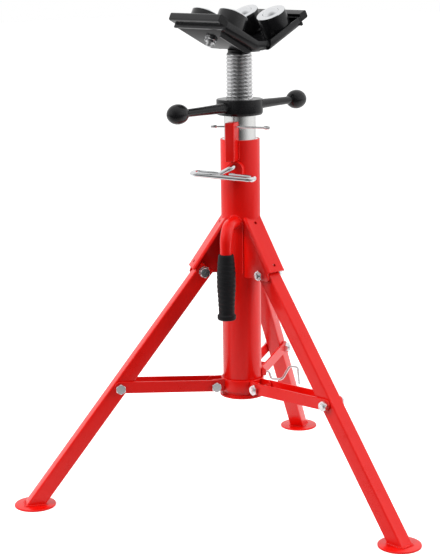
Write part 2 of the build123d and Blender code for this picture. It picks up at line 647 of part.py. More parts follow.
def on_wing(sign, s, n, y=0.0):
    """Place on a wing: X up the slope, Z out of the plate's upper side."""
    x = sign * (UNIT_X + s * cos(tilt))
    upper = HEAD_UNDER + (UNIT_X - FOLD_HALF) * tan(tilt) + HEAD_PLATE / cos(tilt)
    place = Pos(x, y, upper + s * sin(tilt)) * Rot(0, -sign * WING_ANGLE, 0)
    if sign < 0:
        place = place * Rot(0, 0, 180)
    return place * Pos(0, 0, n)


# One stud hole in the middle of each wing, and the tip walls and edge bars.
STUD_R = 5.0
TIP_THICK = 4.0
BAR_WIDE = 15.0
BAR_TALL = 13.0
BAR_CHAMFER = 4.0
BAR_N = HEAD_WALL - HEAD_PLATE - 9.0
tip_walls = []
edge_bars = []
slope_end = (WING_REACH - UNIT_X) / cos(tilt) - HEAD_PLATE * tan(tilt)
for sign in (-1, 1):
    plate -= on_wing(sign, 0, 0) * cyl(STUD_R, -HEAD_PLATE - CUT, CUT)
    wall = out_box(0, TIP_THICK, HEAD_HALF, 0, HEAD_WALL)
    tip_walls.append(on_wing(sign, slope_end, -HEAD_PLATE) * wall)
    bar = out_box(0, BAR_WIDE, HEAD_HALF, 0, BAR_TALL)
    bar = chamfer(bar.edges().filter_by(Axis.Z).group_by(Axis.X)[-1], BAR_CHAMFER)
    edge_bars.append(on_wing(sign, slope_end + TIP_THICK, BAR_N) * bar)
save(plate, "head_plate")
save(Compound(children=tip_walls), "tip_walls")
save(Compound(children=edge_bars), "edge_bars")

# Stiffening ribs: one welded under each wing near opposite edges, cut level
# just under the fold.
RIB_Y = HEAD_HALF - 11.5
RIB_HALF = 1.5
RIB_DEEP = 9.0
RIB_SHORT = 4.0
RIB_LEVEL = 1.5
rib = side_plate(band(-RIB_DEEP, 0, WING_REACH - RIB_SHORT), -RIB_Y - RIB_HALF, -RIB_Y + RIB_HALF)
rib &= Pos(0, 0, HEAD_UNDER - RIB_LEVEL) * Box(
    WING_REACH + CUT, 2 * HEAD_HALF, WING_REACH, align=(Align.MAX, Align.CENTER, Align.MIN)
)
save(Compound(children=[rib, Rot(0, 0, 180) * rib]), "head_ribs")

# Ball units: a housing cup, a pressed cap ring and one big ball. Between the
# two units of each wing stands a stud with a round head, and a castle nut
# and split pin under the plate.
CAP_CHAMFER = 0.8
STUD_HEAD_R = 6.5
STUD_HEAD_TALL = 3.0
NUT_ACROSS = 17.0
NUT_TALL = 9.0
STUD_LONG = 17.0
SPLIT_R = 1.1
SPLIT_HALF = 12.0
SPLIT_UP = 2.0
BALL_N = UNIT_FACE - BALL_SUNK
caps = []
names = {(-1, -1): "a", (1, -1): "b", (1, 1): "c", (-1, 1): "d"}
for (sx, sy), name in names.items():
    place = on_wing(sx, 0, 0, sy * UNIT_Y)
    cavity = Pos(0, 0, BALL_N) * Sphere(BALL_R + CLEAR)
    cap = cyl(UNIT_R, UNIT_BODY, UNIT_FACE)
    cap = chamfer(cap.faces().sort_by(Axis.Z)[-1].edges(), CAP_CHAMFER) - cavity
    save(place * (cyl(UNIT_R, 0, UNIT_BODY) - cavity), f"housing_{name}")
    save(place * Pos(0, 0, BALL_N) * Sphere(BALL_R), f"ball_{name}")
    caps.append(place * cap)
studs = []
stud_nuts = []
split_pins = []
for sign in (-1, 1):
    place = on_wing(sign, 0, 0)
    cross = out_bar(SPLIT_R, -SPLIT_HALF, SPLIT_HALF, -HEAD_PLATE - NUT_TALL + SPLIT_UP)
    stud = cyl(STUD_R, -HEAD_PLATE - STUD_LONG, 0) + cyl(STUD_HEAD_R, 0, STUD_HEAD_TALL)
    flats = RegularPolygon(NUT_ACROSS / 2, 6, major_radius=False)
    nut = Pos(0, 0, -HEAD_PLATE - NUT_TALL) * extrude(flats, amount=NUT_TALL)
    studs.append(place * (stud - cross))
    stud_nuts.append(place * (nut - stud - cross))
    split_pins.append(place * cross)
save(Compound(children=caps), "unit_caps")
save(Compound(children=studs), "wing_studs")
save(Compound(children=stud_nuts), "wing_nuts")
save(Compound(children=split_pins), "split_pins")
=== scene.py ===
import json
import bmesh
import bpy
import numpy as np
from mathutils import Matrix, Vector


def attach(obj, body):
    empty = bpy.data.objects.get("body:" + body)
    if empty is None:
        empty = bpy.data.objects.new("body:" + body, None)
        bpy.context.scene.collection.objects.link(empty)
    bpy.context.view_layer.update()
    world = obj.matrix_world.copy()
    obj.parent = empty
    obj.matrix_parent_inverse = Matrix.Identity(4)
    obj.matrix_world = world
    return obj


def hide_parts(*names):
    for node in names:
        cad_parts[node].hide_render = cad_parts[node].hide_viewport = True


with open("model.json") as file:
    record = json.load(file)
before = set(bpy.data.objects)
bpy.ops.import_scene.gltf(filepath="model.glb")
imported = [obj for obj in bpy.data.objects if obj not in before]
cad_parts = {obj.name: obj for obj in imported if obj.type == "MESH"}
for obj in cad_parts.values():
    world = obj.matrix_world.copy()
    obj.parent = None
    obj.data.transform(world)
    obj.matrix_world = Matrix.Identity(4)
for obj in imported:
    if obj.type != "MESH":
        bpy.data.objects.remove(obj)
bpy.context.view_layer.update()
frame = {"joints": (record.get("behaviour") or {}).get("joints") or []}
MM = 0.001

# Camera. It looks at the stand from a little above the jack's height,
# between the leg at the left and the one at the front right.
EYE_AWAY = 2.3892
EYE_BEARING = np.radians(227.66)
EYE_HEIGHT = 0.8845
LOOK_BEARING = np.radians(48.50)
LOOK_DOWN = np.radians(12.287)
ROLL = np.radians(-0.76)
eye = Vector((EYE_AWAY * np.cos(EYE_BEARING), EYE_AWAY * np.sin(EYE_BEARING), EYE_HEIGHT))
ahead = Vector((
    np.cos(LOOK_BEARING) * np.cos(LOOK_DOWN),
    np.sin(LOOK_BEARING) * np.cos(LOOK_DOWN),
    -np.sin(LOOK_DOWN),
))
level = Vector((np.sin(LOOK_BEARING), -np.cos(LOOK_BEARING), 0))
above = level.cross(ahead)
right = level * np.cos(ROLL) + above * np.sin(ROLL)
up = above * np.cos(ROLL) - level * np.sin(ROLL)
camera_data = bpy.data.cameras.new("camera")
camera_data.sensor_fit = "VERTICAL"
camera_data.sensor_height = 24
camera_data.lens = 64.62
camera = bpy.data.objects.new("camera", camera_data)
camera.matrix_world = Matrix.Translation(eye) @ Matrix((right, up, -ahead)).transposed().to_4x4()
bpy.context.scene.collection.objects.link(camera)
bpy.context.scene.camera = camera
bpy.context.scene.view_settings.view_transform = "Standard"


# Studio. A pale matt floor, with painted shade on its camera side that only
# reflections and bounced light see, white surroundings that the camera and glossy
# surfaces see, and large soft lamps to the left, right and overhead.
def nodes_of(tree):
    """Empties a node tree and gives a short way to add nodes and links."""
    tree.nodes.clear()

    def add(kind, inputs=None, **settings):
        node = tree.nodes.new(kind)
        for key, value in settings.items():
            setattr(node, key, value)
        for key, value in (inputs or {}).items():
            if isinstance(value, bpy.types.NodeSocket):
                tree.links.new(value, node.inputs[key])
            else:
                node.inputs[key].default_value = value
        return node

    return add


CAMERA_SIDE = (-0.665, -0.730, 0.155)
DARK_GLOSS = 0.04
DARK_WASH = 0.03
BRIGHT_WASH = 0.80
world = bpy.data.worlds.new("studio")
world.use_nodes = True
bpy.context.scene.world = world
add = nodes_of(world.node_tree)
path = add("ShaderNodeLightPath")
way = add("ShaderNodeTexCoord")
toward = add("ShaderNodeVectorMath", {0: way.outputs["Generated"], 1: CAMERA_SIDE}, operation="DOT_PRODUCT")
turned_off = add("ShaderNodeMapRange", {"Value": toward.outputs["Value"], "From Min": 1.0, "From Max": 0.35})
open_side = add("ShaderNodeMath", {0: turned_off.outputs[0], 1: 0.65}, operation="POWER")
gloss_light = add("ShaderNodeMapRange", {"Value": open_side.outputs[0], "To Min": DARK_GLOSS, "To Max": 1.0})
wash_light = add("ShaderNodeMapRange", {"Value": open_side.outputs[0], "To Min": DARK_WASH, "To Max": BRIGHT_WASH})
glossy = add("ShaderNodeMix", {"Factor": path.outputs["Is Glossy Ray"], 2: wash_light.outputs[0], 3: gloss_light.outputs[0]})
seen = add("ShaderNodeMath", {0: path.outputs["Is Camera Ray"], 1: path.outputs["Is Transmission Ray"]}, operation="MAXIMUM")
strength = add("ShaderNodeMix", {"Factor": seen.outputs[0], 2: glossy.outputs[0], 3: 1.0})
background = add("ShaderNodeBackground", {"Color": (1, 1, 1, 1), "Strength": strength.outputs[0]})
add("ShaderNodeOutputWorld", {"Surface": background.outputs[0]})


def lamp(name, bearing, height, away, size, power):
    """Square soft lamp at a bearing, aimed at the middle of the stand."""
    data = bpy.data.lights.new(name, "AREA")
    data.shape = "SQUARE"
    data.size = size
    data.energy = power
    obj = bpy.data.objects.new(name, data)
    obj.visible_glossy = False
    turn = np.radians(bearing)
    spot = Vector((away * np.cos(turn), away * np.sin(turn), height))
    obj.location = spot
    obj.rotation_euler = (Vector((0, 0, 0.45)) - spot).to_track_quat("-Z", "Y").to_euler()
    bpy.context.scene.collection.objects.link(obj)


lamp("lamp_left", 158, 1.9, 2.2, 1.6, 58)
lamp("lamp_right", 300, 1.6, 2.4, 1.4, 42)
lamp("lamp_top", 240, 3.0, 0.8, 1.8, 7)

FLOOR_HALF = 15.0
floor_mesh = bpy.data.meshes.new("floor")
corner = np.array([[-1, -1, 0], [1, -1, 0], [1, 1, 0], [-1, 1, 0]]) * FLOOR_HALF
floor_mesh.from_pydata(corner.tolist(), [], [[0, 1, 2, 3]])
floor = bpy.data.objects.new("floor", floor_mesh)
bpy.context.scene.collection.objects.link(floor)
paper = bpy.data.materials.new("floor_paper")
paper.use_nodes = True
add = nodes_of(paper.node_tree)
path = add("ShaderNodeLightPath")
lift = add("ShaderNodeMath", {0: path.outputs["Is Camera Ray"], 1: 0.52}, operation="MULTIPLY")
# Painted shade on the floor: for reflections and bounced light its colour fades to black towards the camera's side, so
# faces turned to the camera see a dark floor. The camera itself sees it pale.
spot = add("ShaderNodeTexCoord")
in_front = add("ShaderNodeVectorMath", {0: spot.outputs["Object"], 1: CAMERA_SIDE}, operation="DOT_PRODUCT")
floor_painted_shade = add("ShaderNodeMapRange", {
    "Value": in_front.outputs["Value"], "From Min": 0.0, "From Max": 0.9, "To Min": 1.0, "To Max": 0.06,
})
pale = add("ShaderNodeMath", {0: floor_painted_shade.outputs[0], 1: path.outputs["Is Camera Ray"]}, operation="MAXIMUM")
tone = add("ShaderNodeMixRGB", {"Fac": pale.outputs[0], "Color1": (0, 0, 0, 1), "Color2": (0.86, 0.86, 0.86, 1)})
skin = add("ShaderNodeBsdfPrincipled", {
    "Base Color": tone.outputs[0],
    "Roughness": 0.9,
    "Specular IOR Level": 0.1,
    "Emission Color": (1, 1, 1, 1),
    "Emission Strength": lift.outputs[0],
})
add("ShaderNodeOutputMaterial", {"Surface": skin.outputs[0]})
floor_mesh.materials.append(paper)


# Column: welded round tube, powder coated red, open at the top and standing
# on a turned disc. The pin hole and two lock holes are drilled in one wall.
def rounded(points, radius, steps=5, closed=True):
    """Outline or path with a round arc at every corner. Each arc is turned
    between the two tangent points about the centre on the corner's bisector."""
    p = np.array(points, float)
    mid = p if closed else p[1:-1]
    before = np.roll(p, 1, 0) if closed else p[:-2]
    after = np.roll(p, -1, 0) if closed else p[2:]
    a = before - mid
    b = after - mid
    a = a / np.linalg.norm(a, axis=1, keepdims=True)
    b = b / np.linalg.norm(b, axis=1, keepdims=True)
    half = np.arccos(np.clip((a * b).sum(1), -0.9999, 0.9999)) / 2
    r = np.broadcast_to(np.asarray(radius, float), half.shape)
    way = (a + b) / np.linalg.norm(a + b, axis=1, keepdims=True)
    centre = mid + way * (r / np.sin(half))[:, None]
    first = mid + a * (r / np.tan(half))[:, None] - centre
    last = mid + b * (r / np.tan(half))[:, None] - centre
    turn = (np.pi - 2 * half)[:, None, None]
    t = np.linspace(0, 1, steps + 1)[None, :, None]
    arc = (np.sin((1 - t) * turn) * first[:, None] + np.sin(t * turn) * last[:, None]) / np.sin(turn)
    arc = (centre[:, None] + arc).reshape(-1, p.shape[1])
    return arc if closed else np.concatenate([p[:1], arc, p[-1:]])


def quads(rows, cols, wrap_rows=False, wrap_cols=True):
    """Faces of a grid of rows by cols points, joined round where asked."""
    i, j = np.meshgrid(
        np.arange(rows if wrap_rows else rows - 1),
        np.arange(cols if wrap_cols else cols - 1),
        indexing="ij",
    )
    k = (i + 1) % rows
    m = (j + 1) % cols
    return np.stack([i * cols + j, i * cols + m, k * cols + m, k * cols + j], -1).reshape(-1, 4)


def turned(profile, around=72, closed=True):
    """Surface of revolution about Z: x = r cos a, y = r sin a, z = z."""
    p = np.array(profile, float)
    a = np.arange(around) * 2 * np.pi / around
    grid = np.stack([p[:, :1] * np.cos(a), p[:, :1] * np.sin(a), p[:, 1:] + 0 * a], -1)
    return grid.reshape(-1, 3), quads(len(p), around, wrap_rows=closed)


def pipe(outer, inner, low, high, edge=0.6, around=72):
    """Upright tube with rounded rims."""
    return turned(rounded([(inner, low), (outer, low), (outer, high), (inner, high)], edge, 3), around)


def joined(*parts):
    """Several (points, faces) as one."""
    points, faces, count = [], [], 0
    for p, f in parts:
        points.append(np.asarray(p, float))
        faces += (np.asarray(f) + count).tolist() if isinstance(f, np.ndarray) else [[i + count for i in q] for q in f]
        count += len(p)
    return np.concatenate(points), faces


def on_bearing(part, bearing, out=0.0, side=0.0, lift=0.0):
    """Turns (outward, sideways, up) coordinates to a bearing about the column."""
    p, f = part
    a = np.radians(bearing)
    r, t, z = p[:, 0] + out, p[:, 1] + side, p[:, 2] + lift
    return np.stack([r * np.cos(a) - t * np.sin(a), r * np.sin(a) + t * np.cos(a), z], -1), f


def piece(name, part, material, rides, replaces=(), sharp=32, bevel=0.0):
    """Puts (points, faces), in millimetres, into a named mesh object that
    rides on a body and stands for the CAD nodes named."""
    points, faces = part
    mesh = bpy.data.meshes.new(name)
    mesh.from_pydata((points * MM).tolist(), [], faces if isinstance(faces, list) else faces.tolist())
    work = bmesh.new()
    work.from_mesh(mesh)
    bmesh.ops.remove_doubles(work, verts=work.verts, dist=1e-6)
    bmesh.ops.dissolve_degenerate(work, dist=1e-7, edges=work.edges)
    bmesh.ops.recalc_face_normals(work, faces=work.faces)
    work.to_mesh(mesh)
    work.free()
    mesh.shade_smooth()
    mesh.set_sharp_from_angle(angle=np.radians(sharp))
    mesh.materials.append(material)
    obj = bpy.data.objects.new(name, mesh)
    bpy.context.scene.collection.objects.link(obj)
    if bevel:
        edge = obj.modifiers.new("edge", "BEVEL")
        edge.width = bevel * MM
        edge.segments = 2
        edge.angle_limit = np.radians(40)
        edge.harden_normals = True
    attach(obj, rides)
    if replaces:
        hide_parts(*replaces)
    return obj


def drilled(obj, cutter, sharp=32):
    """Cuts holes into a piece and keeps the result as its mesh."""
    points, faces = cutter
    mesh = bpy.data.meshes.new("drill")
    mesh.from_pydata((points * MM).tolist(), [], faces if isinstance(faces, list) else faces.tolist())
    work = bmesh.new()
    work.from_mesh(mesh)
    bmesh.ops.recalc_face_normals(work, faces=work.faces)
    work.to_mesh(mesh)
    work.free()
    drill = bpy.data.objects.new("drill", mesh)
    bpy.context.scene.collection.objects.link(drill)
    cut = obj.modifiers.new("hole", "BOOLEAN")
    cut.object = drill
    cut.solver = "EXACT"
    bpy.context.view_layer.update()
    graph = bpy.context.evaluated_depsgraph_get()
    made = bpy.data.meshes.new_from_object(obj.evaluated_get(graph))
    obj.modifiers.clear()
    obj.data = made
    made.shade_smooth()
    made.set_sharp_from_angle(angle=np.radians(sharp))
    bpy.data.objects.remove(drill)


def rod(radius, start, end, around=24, edge=0.0):
    """Solid round bar between two points, with flat or slightly rounded ends."""
    a = np.array(start, float)
    b = np.array(end, float)
    way = (b - a) / np.linalg.norm(b - a)
    side = np.cross(way, [0.0, 0.0, 1.0] if abs(way[2]) < 0.9 else [1.0, 0.0, 0.0])
    side /= np.linalg.norm(side)
    other = np.cross(way, side)
    long = np.linalg.norm(b - a)
    line = rounded([(0, 0), (radius, 0), (radius, long), (0, long)], (0, edge, edge, 0), 3) if edge else np.array([(0, 0), (radius, 0), (radius, long), (0, long)])
    turn = np.arange(around) * 2 * np.pi / around
    ring = np.cos(turn)[:, None] * side + np.sin(turn)[:, None] * other
    grid = a + line[:, 1, None, None] * way + line[:, 0, None, None] * ring
    return grid.reshape(-1, 3), quads(len(line), around)


def grain_group():
    """Fine and broad unevenness of a finish, both from 0 to 1, and a height
    for bump: two noises over the object, one small and one large."""
    group = bpy.data.node_groups.new("finish_grain", "ShaderNodeTree")
    for name, value in (("Fine Scale", 900.0), ("Broad Scale", 18.0), ("Stretch", 1.0)):
        socket = group.interface.new_socket(name, in_out="INPUT", socket_type="NodeSocketFloat")
        socket.default_value = value
    for name in ("Fine", "Broad"):
        group.interface.new_socket(name, in_out="OUTPUT", socket_type="NodeSocketFloat")
    add = nodes_of(group)
    given = add("NodeGroupInput")
    place = add("ShaderNodeTexCoord")
    stretch = add("ShaderNodeCombineXYZ", {0: 1.0, 1: 1.0, 2: given.outputs["Stretch"]})
    spot = add("ShaderNodeVectorMath", {0: place.outputs["Object"], 1: stretch.outputs[0]}, operation="MULTIPLY")
    fine = add("ShaderNodeTexNoise", {"Vector": spot.outputs[0], "Scale": given.outputs["Fine Scale"], "Detail": 3.0})
    broad = add("ShaderNodeTexNoise", {"Vector": place.outputs["Object"], "Scale": given.outputs["Broad Scale"], "Detail": 4.0})
    add("NodeGroupOutput", {"Fine": fine.outputs["Fac"], "Broad": broad.outputs["Fac"]})
    return group


grain = grain_group()


def finish(name, dark, light, rough, fine=900.0, broad=18.0, stretch=1.0, bump=0.1, depth=0.0001, **fixed):
    """Material whose colour wanders from dark to light and whose roughness
    wanders between two values, with a fine bump from the same grain."""
    material = bpy.data.materials.new(name)
    material.use_nodes = True
    add = nodes_of(material.node_tree)
    skin = add("ShaderNodeGroup", {}, node_tree=grain)
    skin.inputs["Fine Scale"].default_value = fine
    skin.inputs["Broad Scale"].default_value = broad
    skin.inputs["Stretch"].default_value = stretch
    colour = add("ShaderNodeMixRGB", {"Fac": skin.outputs["Broad"], "Color1": (*dark, 1), "Color2": (*light, 1)})
    both = add("ShaderNodeMath", {0: skin.outputs["Fine"], 1: skin.outputs["Broad"]}, operation="MULTIPLY")
    gloss = add("ShaderNodeMapRange", {"Value": both.outputs[0], "From Min": 0.1, "From Max": 0.45, "To Min": rough[0], "To Max": rough[1]})
    relief = add("ShaderNodeBump", {"Height": skin.outputs["Fine"], "Strength": bump, "Distance": depth})
    inputs = {"Base Color": colour.outputs[0], "Roughness": gloss.outputs[0], "Normal": relief.outputs[0]}
    inputs.update({key.replace("_", " "): value for key, value in fixed.items()})
    shader = add("ShaderNodeBsdfPrincipled", inputs)
    add("ShaderNodeOutputMaterial", {"Surface": shader.outputs[0]})
    return material


red = finish(
    "red_powder_coat", (0.66, 0.0035, 0.0015), (0.74, 0.0050, 0.0020), (0.26, 0.36),
    fine=1300.0, bump=0.08, depth=0.00012, Specular_IOR_Level=0.32, Coat_Weight=0.12, Coat_Roughness=0.10,
)

COLUMN_R = 31.75
COLUMN_BORE = 28.55
COLUMN_FOOT = 168.5
COLUMN_TOP = 592.0
PIN_BEARING = 213.5
PIN_Z = 551.5
LOCK_BEARING = 330.0
LOCK_Z = 200.0
travel = next(j for j in frame["joints"] if j["name"] == "collar_slide")["range_m"][1] / MM - 0.6
column = piece(
    "column_skin", pipe(COLUMN_R, COLUMN_BORE, COLUMN_FOOT, COLUMN_TOP, 0.7, 128),
    red, "column", ["column_tube"],
)
drilled(column, joined(
    on_bearing(rod(4.06, (20, 0, PIN_Z), (40, 0, PIN_Z)), PIN_BEARING),
    on_bearing(rod(3.06, (20, 0, LOCK_Z), (40, 0, LOCK_Z)), LOCK_BEARING),
    on_bearing(rod(3.06, (20, 0, LOCK_Z + travel), (40, 0, LOCK_Z + travel)), LOCK_BEARING),
))

BASE_R = 37.3
BASE_LOW = 165.5
disc = turned(rounded([(0, BASE_LOW), (BASE_R, BASE_LOW), (BASE_R, COLUMN_FOOT), (0, COLUMN_FOOT)], (0, 0.8, 0.8, 0), 3), 96, False)
piece("base_disc_skin", disc, red, "column", ["base_disc"])


def bead(path, radius, pitch=3.2, around=12):
    """Weld bead: a thin tube along a path whose radius swells and shrinks
    once for every ripple the welder leaves."""
    p = np.array(path, float)
    run = np.r_[0, np.cumsum(np.linalg.norm(np.diff(p, axis=0), axis=1))]
    s = np.linspace(0, run[-1], max(8, int(run[-1] / pitch * 6)))
    q = np.stack([np.interp(s, run, p[:, k]) for k in range(3)], -1)
    way = np.gradient(q, axis=0)
    way /= np.linalg.norm(way, axis=1, keepdims=True)
    ref = np.array([0.31, 0.52, 0.79])
    side = np.cross(way, ref)
    side /= np.linalg.norm(side, axis=1, keepdims=True)
    other = np.cross(way, side)
    swell = radius * (0.88 + 0.12 * np.cos(2 * np.pi * s / pitch)) * np.clip(np.minimum(s, run[-1] - s) / radius + 0.15, 0, 1) ** 0.5
    a = np.arange(around) * 2 * np.pi / around
    ring = np.cos(a)[None, :, None] * side[:, None] + np.sin(a)[None, :, None] * other[:, None]
    grid = q[:, None] + swell[:, None, None] * ring
    count = len(q) * around
    ends = [list(range(around))[::-1], list(range(count - around, count))]
    return grid.reshape(-1, 3), quads(len(q), around).tolist() + ends


around_foot = np.linspace(0, 2 * np.pi, 97)
ring_line = np.stack([(COLUMN_R + 0.4) * np.cos(around_foot), (COLUMN_R + 0.4) * np.sin(around_foot), COLUMN_FOOT + 0.3 + 0 * around_foot], -1)
piece("column_weld", bead(ring_line, 1.6), red, "column")

# Guide bush in the column's top: a turned steel sleeve that the sliding tube
# runs in, pressed flush with the rim.
zinc = finish(
    "bright_zinc", (0.74, 0.74, 0.75), (0.88, 0.88, 0.89), (0.16, 0.28),
    fine=700.0, broad=60.0, bump=0.08, depth=0.0001, Metallic=1.0,
)
piece("guide_bush_skin", pipe(28.55, 25.46, 572.0, 591.9, 0.5, 96), zinc, "column", ["guide_bush"])


# Leg brackets: each is one steel plate bent to a U, its sloping front between
# two cheeks, welded to the column. Two small holes are drilled in the front.
BEARINGS = {"a": 30.0, "b": 150.0, "c": 270.0}
CHEEK_OUT = 18.5
PLATE = 3.0
TOP = np.array([28.5, 468.0])
LIP = np.array([84.8, 386.0])
LOW_Z = 370.6


def slab(outline, side0, side1):
    """Flat plate: an outline in (outward, up) carried sideways from one side
    to the other, closed by the outline itself at both ends."""
    p = np.array(outline, float)
    n = len(p)
    t = np.array([side0, side1])[:, None] + np.zeros((1, n))
    grid = np.stack([np.broadcast_to(p[:, 0], (2, n)), t, np.broadcast_to(p[:, 1], (2, n))], -1)
    return grid.reshape(-1, 3), quads(2, n).tolist() + [list(range(n)), list(range(2 * n - 1, n - 1, -1))]


def run_along(section, start, end, wide):
    """Section in (sideways, depth) carried straight from start to end in the
    (outward, up) plane; depth is measured square to that line, inwards."""
    s = np.array(section, float)
    a, b = np.array(start, float), np.array(end, float)
    way = (b - a) / np.linalg.norm(b - a)
    inward = np.array([way[1], -way[0]])
    n = len(s)
    base = np.stack([a, b])[:, None, :] + s[None, :, 1:] * inward
    grid = np.stack([base[..., 0], np.broadcast_to(s[:, 0] * wide, (2, n)), base[..., 1]], -1)
    return grid.reshape(-1, 3), quads(2, n).tolist() + [list(range(n))[::-1], list(range(n, 2 * n))]


BEND = 4.5
slope = (LIP - TOP) / np.linalg.norm(LIP - TOP)
inward = np.array([slope[1], -slope[0]])
drop = BEND * inward
fold_outer = rounded([(-CHEEK_OUT, BEND + 0.01), (-CHEEK_OUT, 0), (CHEEK_OUT, 0), (CHEEK_OUT, BEND + 0.01)], BEND - 0.05, 6, False)
gap_half = CHEEK_OUT - PLATE
fold_inner = rounded([(gap_half, BEND + 0.01), (gap_half, PLATE), (-gap_half, PLATE), (-gap_half, BEND + 0.01)], BEND - PLATE - 0.1, 6, False)
front = run_along(np.concatenate([fold_outer, fold_inner]), TOP, LIP, 1.0)
cheek_line = rounded([(27.4, LOW_Z), (80.0, LOW_Z), (83.4, 374.5), tuple(LIP + drop - slope * 2.5), tuple(TOP + drop), (27.4, 462.0)], (0.3, 3.0, 3.0, 1.5, 0.3, 0.3), 5)
hole_spots = [(TOP + slope * 11.8), (TOP + slope * 88.5)]
for name, bearing in BEARINGS.items():
    bent = joined(front, slab(cheek_line, -CHEEK_OUT, -gap_half), slab(cheek_line, gap_half, CHEEK_OUT))
    bracket = piece(f"bracket_{name}_skin", on_bearing(bent, bearing), red, "column", [f"bracket_{name}"], bevel=0.5)
    welds = []
    for side in (-1, 1):
        foot_r = (COLUMN_R**2 - (CHEEK_OUT + 0.3) ** 2) ** 0.5
        line = [(foot_r, side * (CHEEK_OUT + 0.6), LOW_Z + 4), (foot_r, side * (CHEEK_OUT + 0.6), 460)]
        welds.append(on_bearing(bead(line, 1.7), bearing))
    piece(f"bracket_{name}_weld", joined(*welds), red, "column")


# Bracket rivet holes, dark with their own shadow: short drills cut right
# through the sloping front.
for name, bearing in BEARINGS.items():
    holes = []
    for spot in hole_spots:
        a = spot - inward * 4
        b = spot + inward * 8
        holes.append(on_bearing(rod(2.6, (a[0], 0, a[1]), (b[0], 0, b[1]), 20), bearing))
    drilled(bpy.data.objects[f"bracket_{name}_skin"], joined(*holes))


# Bolts of the leg pivots: hexagon heads and lock nuts of bright zinc, with
# turned washers either side of the leg.
def hexagon(across, low, high, edge=0.9, bore=0.0, around=72):
    """Hexagon prism about Z whose top corners are turned away by a cone:
    r(a, z) is the smaller of the hexagon's radius and the cone's."""
    a = np.arange(around) * 2 * np.pi / around
    flat = across / 2
    hexa = flat / np.cos((a + np.pi / 6) % (np.pi / 3) - np.pi / 6)
    full = flat / np.cos(np.pi / 6)
    z = np.array([low, low, low + edge * 0.5, high - edge, high - edge * 0.66, high - edge * 0.33, high, high])
    cone = np.array([bore, flat * 0.96, full, full, full - 0.33 * (full - flat) * 1.2, full - 0.66 * (full - flat) * 1.2, flat * 0.97, bore])
    r = np.minimum(hexa[None, :], cone[:, None])
    grid = np.stack([r * np.cos(a), r * np.sin(a), z[:, None] + 0 * a], -1)
    return grid.reshape(-1, 3), quads(len(z), around, wrap_rows=bore > 0)


def threaded(radius, low, high, pitch=1.5, depth=0.55, around=36):
    """Threaded shank: r(a, z) falls by the thread's depth with a triangle
    wave of z / pitch - a / turn, which winds the ridge up the shank."""
    z = np.arange(low, high, pitch / 6)
    a = np.arange(around) * 2 * np.pi / around
    phase = (z[:, None] / pitch - a / (2 * np.pi)) % 1
    r = radius - depth * np.abs(2 * phase - 1)
    r = np.concatenate([0 * r[:1], r, np.full((1, around), radius - 1.4), 0 * r[:1]])
    zz = np.concatenate([z[:1], z, [high, high]])
    grid = np.stack([r * np.cos(a), r * np.sin(a), zz[:, None] + 0 * a], -1)
    return grid.reshape(-1, 3), quads(len(zz), around)


def across_leg(part, r, z, flip=False):
    """Lays a part made about Z along the sideways direction at (r, z)."""
    p, f = part
    sign = -1 if flip else 1
    return np.stack([r + p[:, 0], sign * p[:, 2], z + p[:, 1]], -1), f


PIVOT_R = 64.2
PIVOT_Z = 378.8
BOLT_R = 5.0
HEX = 15.0
heads, lock_nuts, washers = [], [], []
for bearing in BEARINGS.values():
    head = joined(hexagon(HEX, CHEEK_OUT, CHEEK_OUT + 5.5), rod(BOLT_R, (0, 0, -CHEEK_OUT), (0, 0, CHEEK_OUT)))
    shank = threaded(BOLT_R, CHEEK_OUT, CHEEK_OUT + 7.9)
    heads.append(on_bearing(across_leg(head, PIVOT_R, PIVOT_Z), bearing))
    heads.append(on_bearing(across_leg(shank, PIVOT_R, PIVOT_Z, True), bearing))
    nut = hexagon(HEX, CHEEK_OUT, CHEEK_OUT + 5.5, bore=BOLT_R)
    lock_nuts.append(on_bearing(across_leg(nut, PIVOT_R, PIVOT_Z, True), bearing))
    for flip in (False, True):
        washer = pipe(9.0, BOLT_R, 13.0, gap_half, 0.3, 40)
        washers.append(on_bearing(across_leg(washer, PIVOT_R, PIVOT_Z, flip), bearing))
piece("pivot_bolts_skin", joined(*heads), zinc, "column", ["pivot_bolts"])
piece("pivot_nuts_skin", joined(*lock_nuts), zinc, "column", ["pivot_nuts"])
piece("pivot_washers_skin", joined(*washers), zinc, "column", ["pivot_washers"])

# Legs: square tube with rounded corners, capped at the top and cut level at
# the foot, each welded to a pressed round foot disc.
LEG_TILT = np.radians(37.36)
LEG_HALF = 12.7
LEG_HEAD = 9.0
FOOT_R = 33.8
FOOT_THICK = 3.0
FOOT_OUT = 350.63
down = np.array([np.sin(LEG_TILT), -np.cos(LEG_TILT)])
outer = np.array([np.cos(LEG_TILT), np.sin(LEG_TILT)])
KNEE = 234.2


def leg_tube(corner=2.6, knee_hole=5.4):
    """Rounded square section carried down the leg's line; the last row is
    dropped along that line to the foot disc's level top."""
    square = rounded([(-LEG_HALF, -LEG_HALF), (LEG_HALF, -LEG_HALF), (LEG_HALF, LEG_HALF), (-LEG_HALF, LEG_HALF)], corner, 6)
    small = square * 0.93
    rows = []
    for section, s in ((small, -LEG_HEAD), (square, -LEG_HEAD + 0.9)):
        rows.append(np.stack([PIVOT_R + s * down[0] + section[:, 0] * outer[0], section[:, 1], PIVOT_Z + s * down[1] + section[:, 0] * outer[1]], -1))
    reach = (FOOT_THICK - PIVOT_Z - square[:, 0] * outer[1]) / down[1]
    for share in (0.25, 0.5, 0.75, 1.0):
        s = reach * share
        rows.append(np.stack([PIVOT_R + s * down[0] + square[:, 0] * outer[0], square[:, 1], PIVOT_Z + s * down[1] + square[:, 0] * outer[1]], -1))
    n = len(square)
    grid = np.concatenate(rows)
    last = len(grid)
    return grid, quads(len(rows), n).tolist() + [list(range(n))[::-1], list(range(last - n, last))]


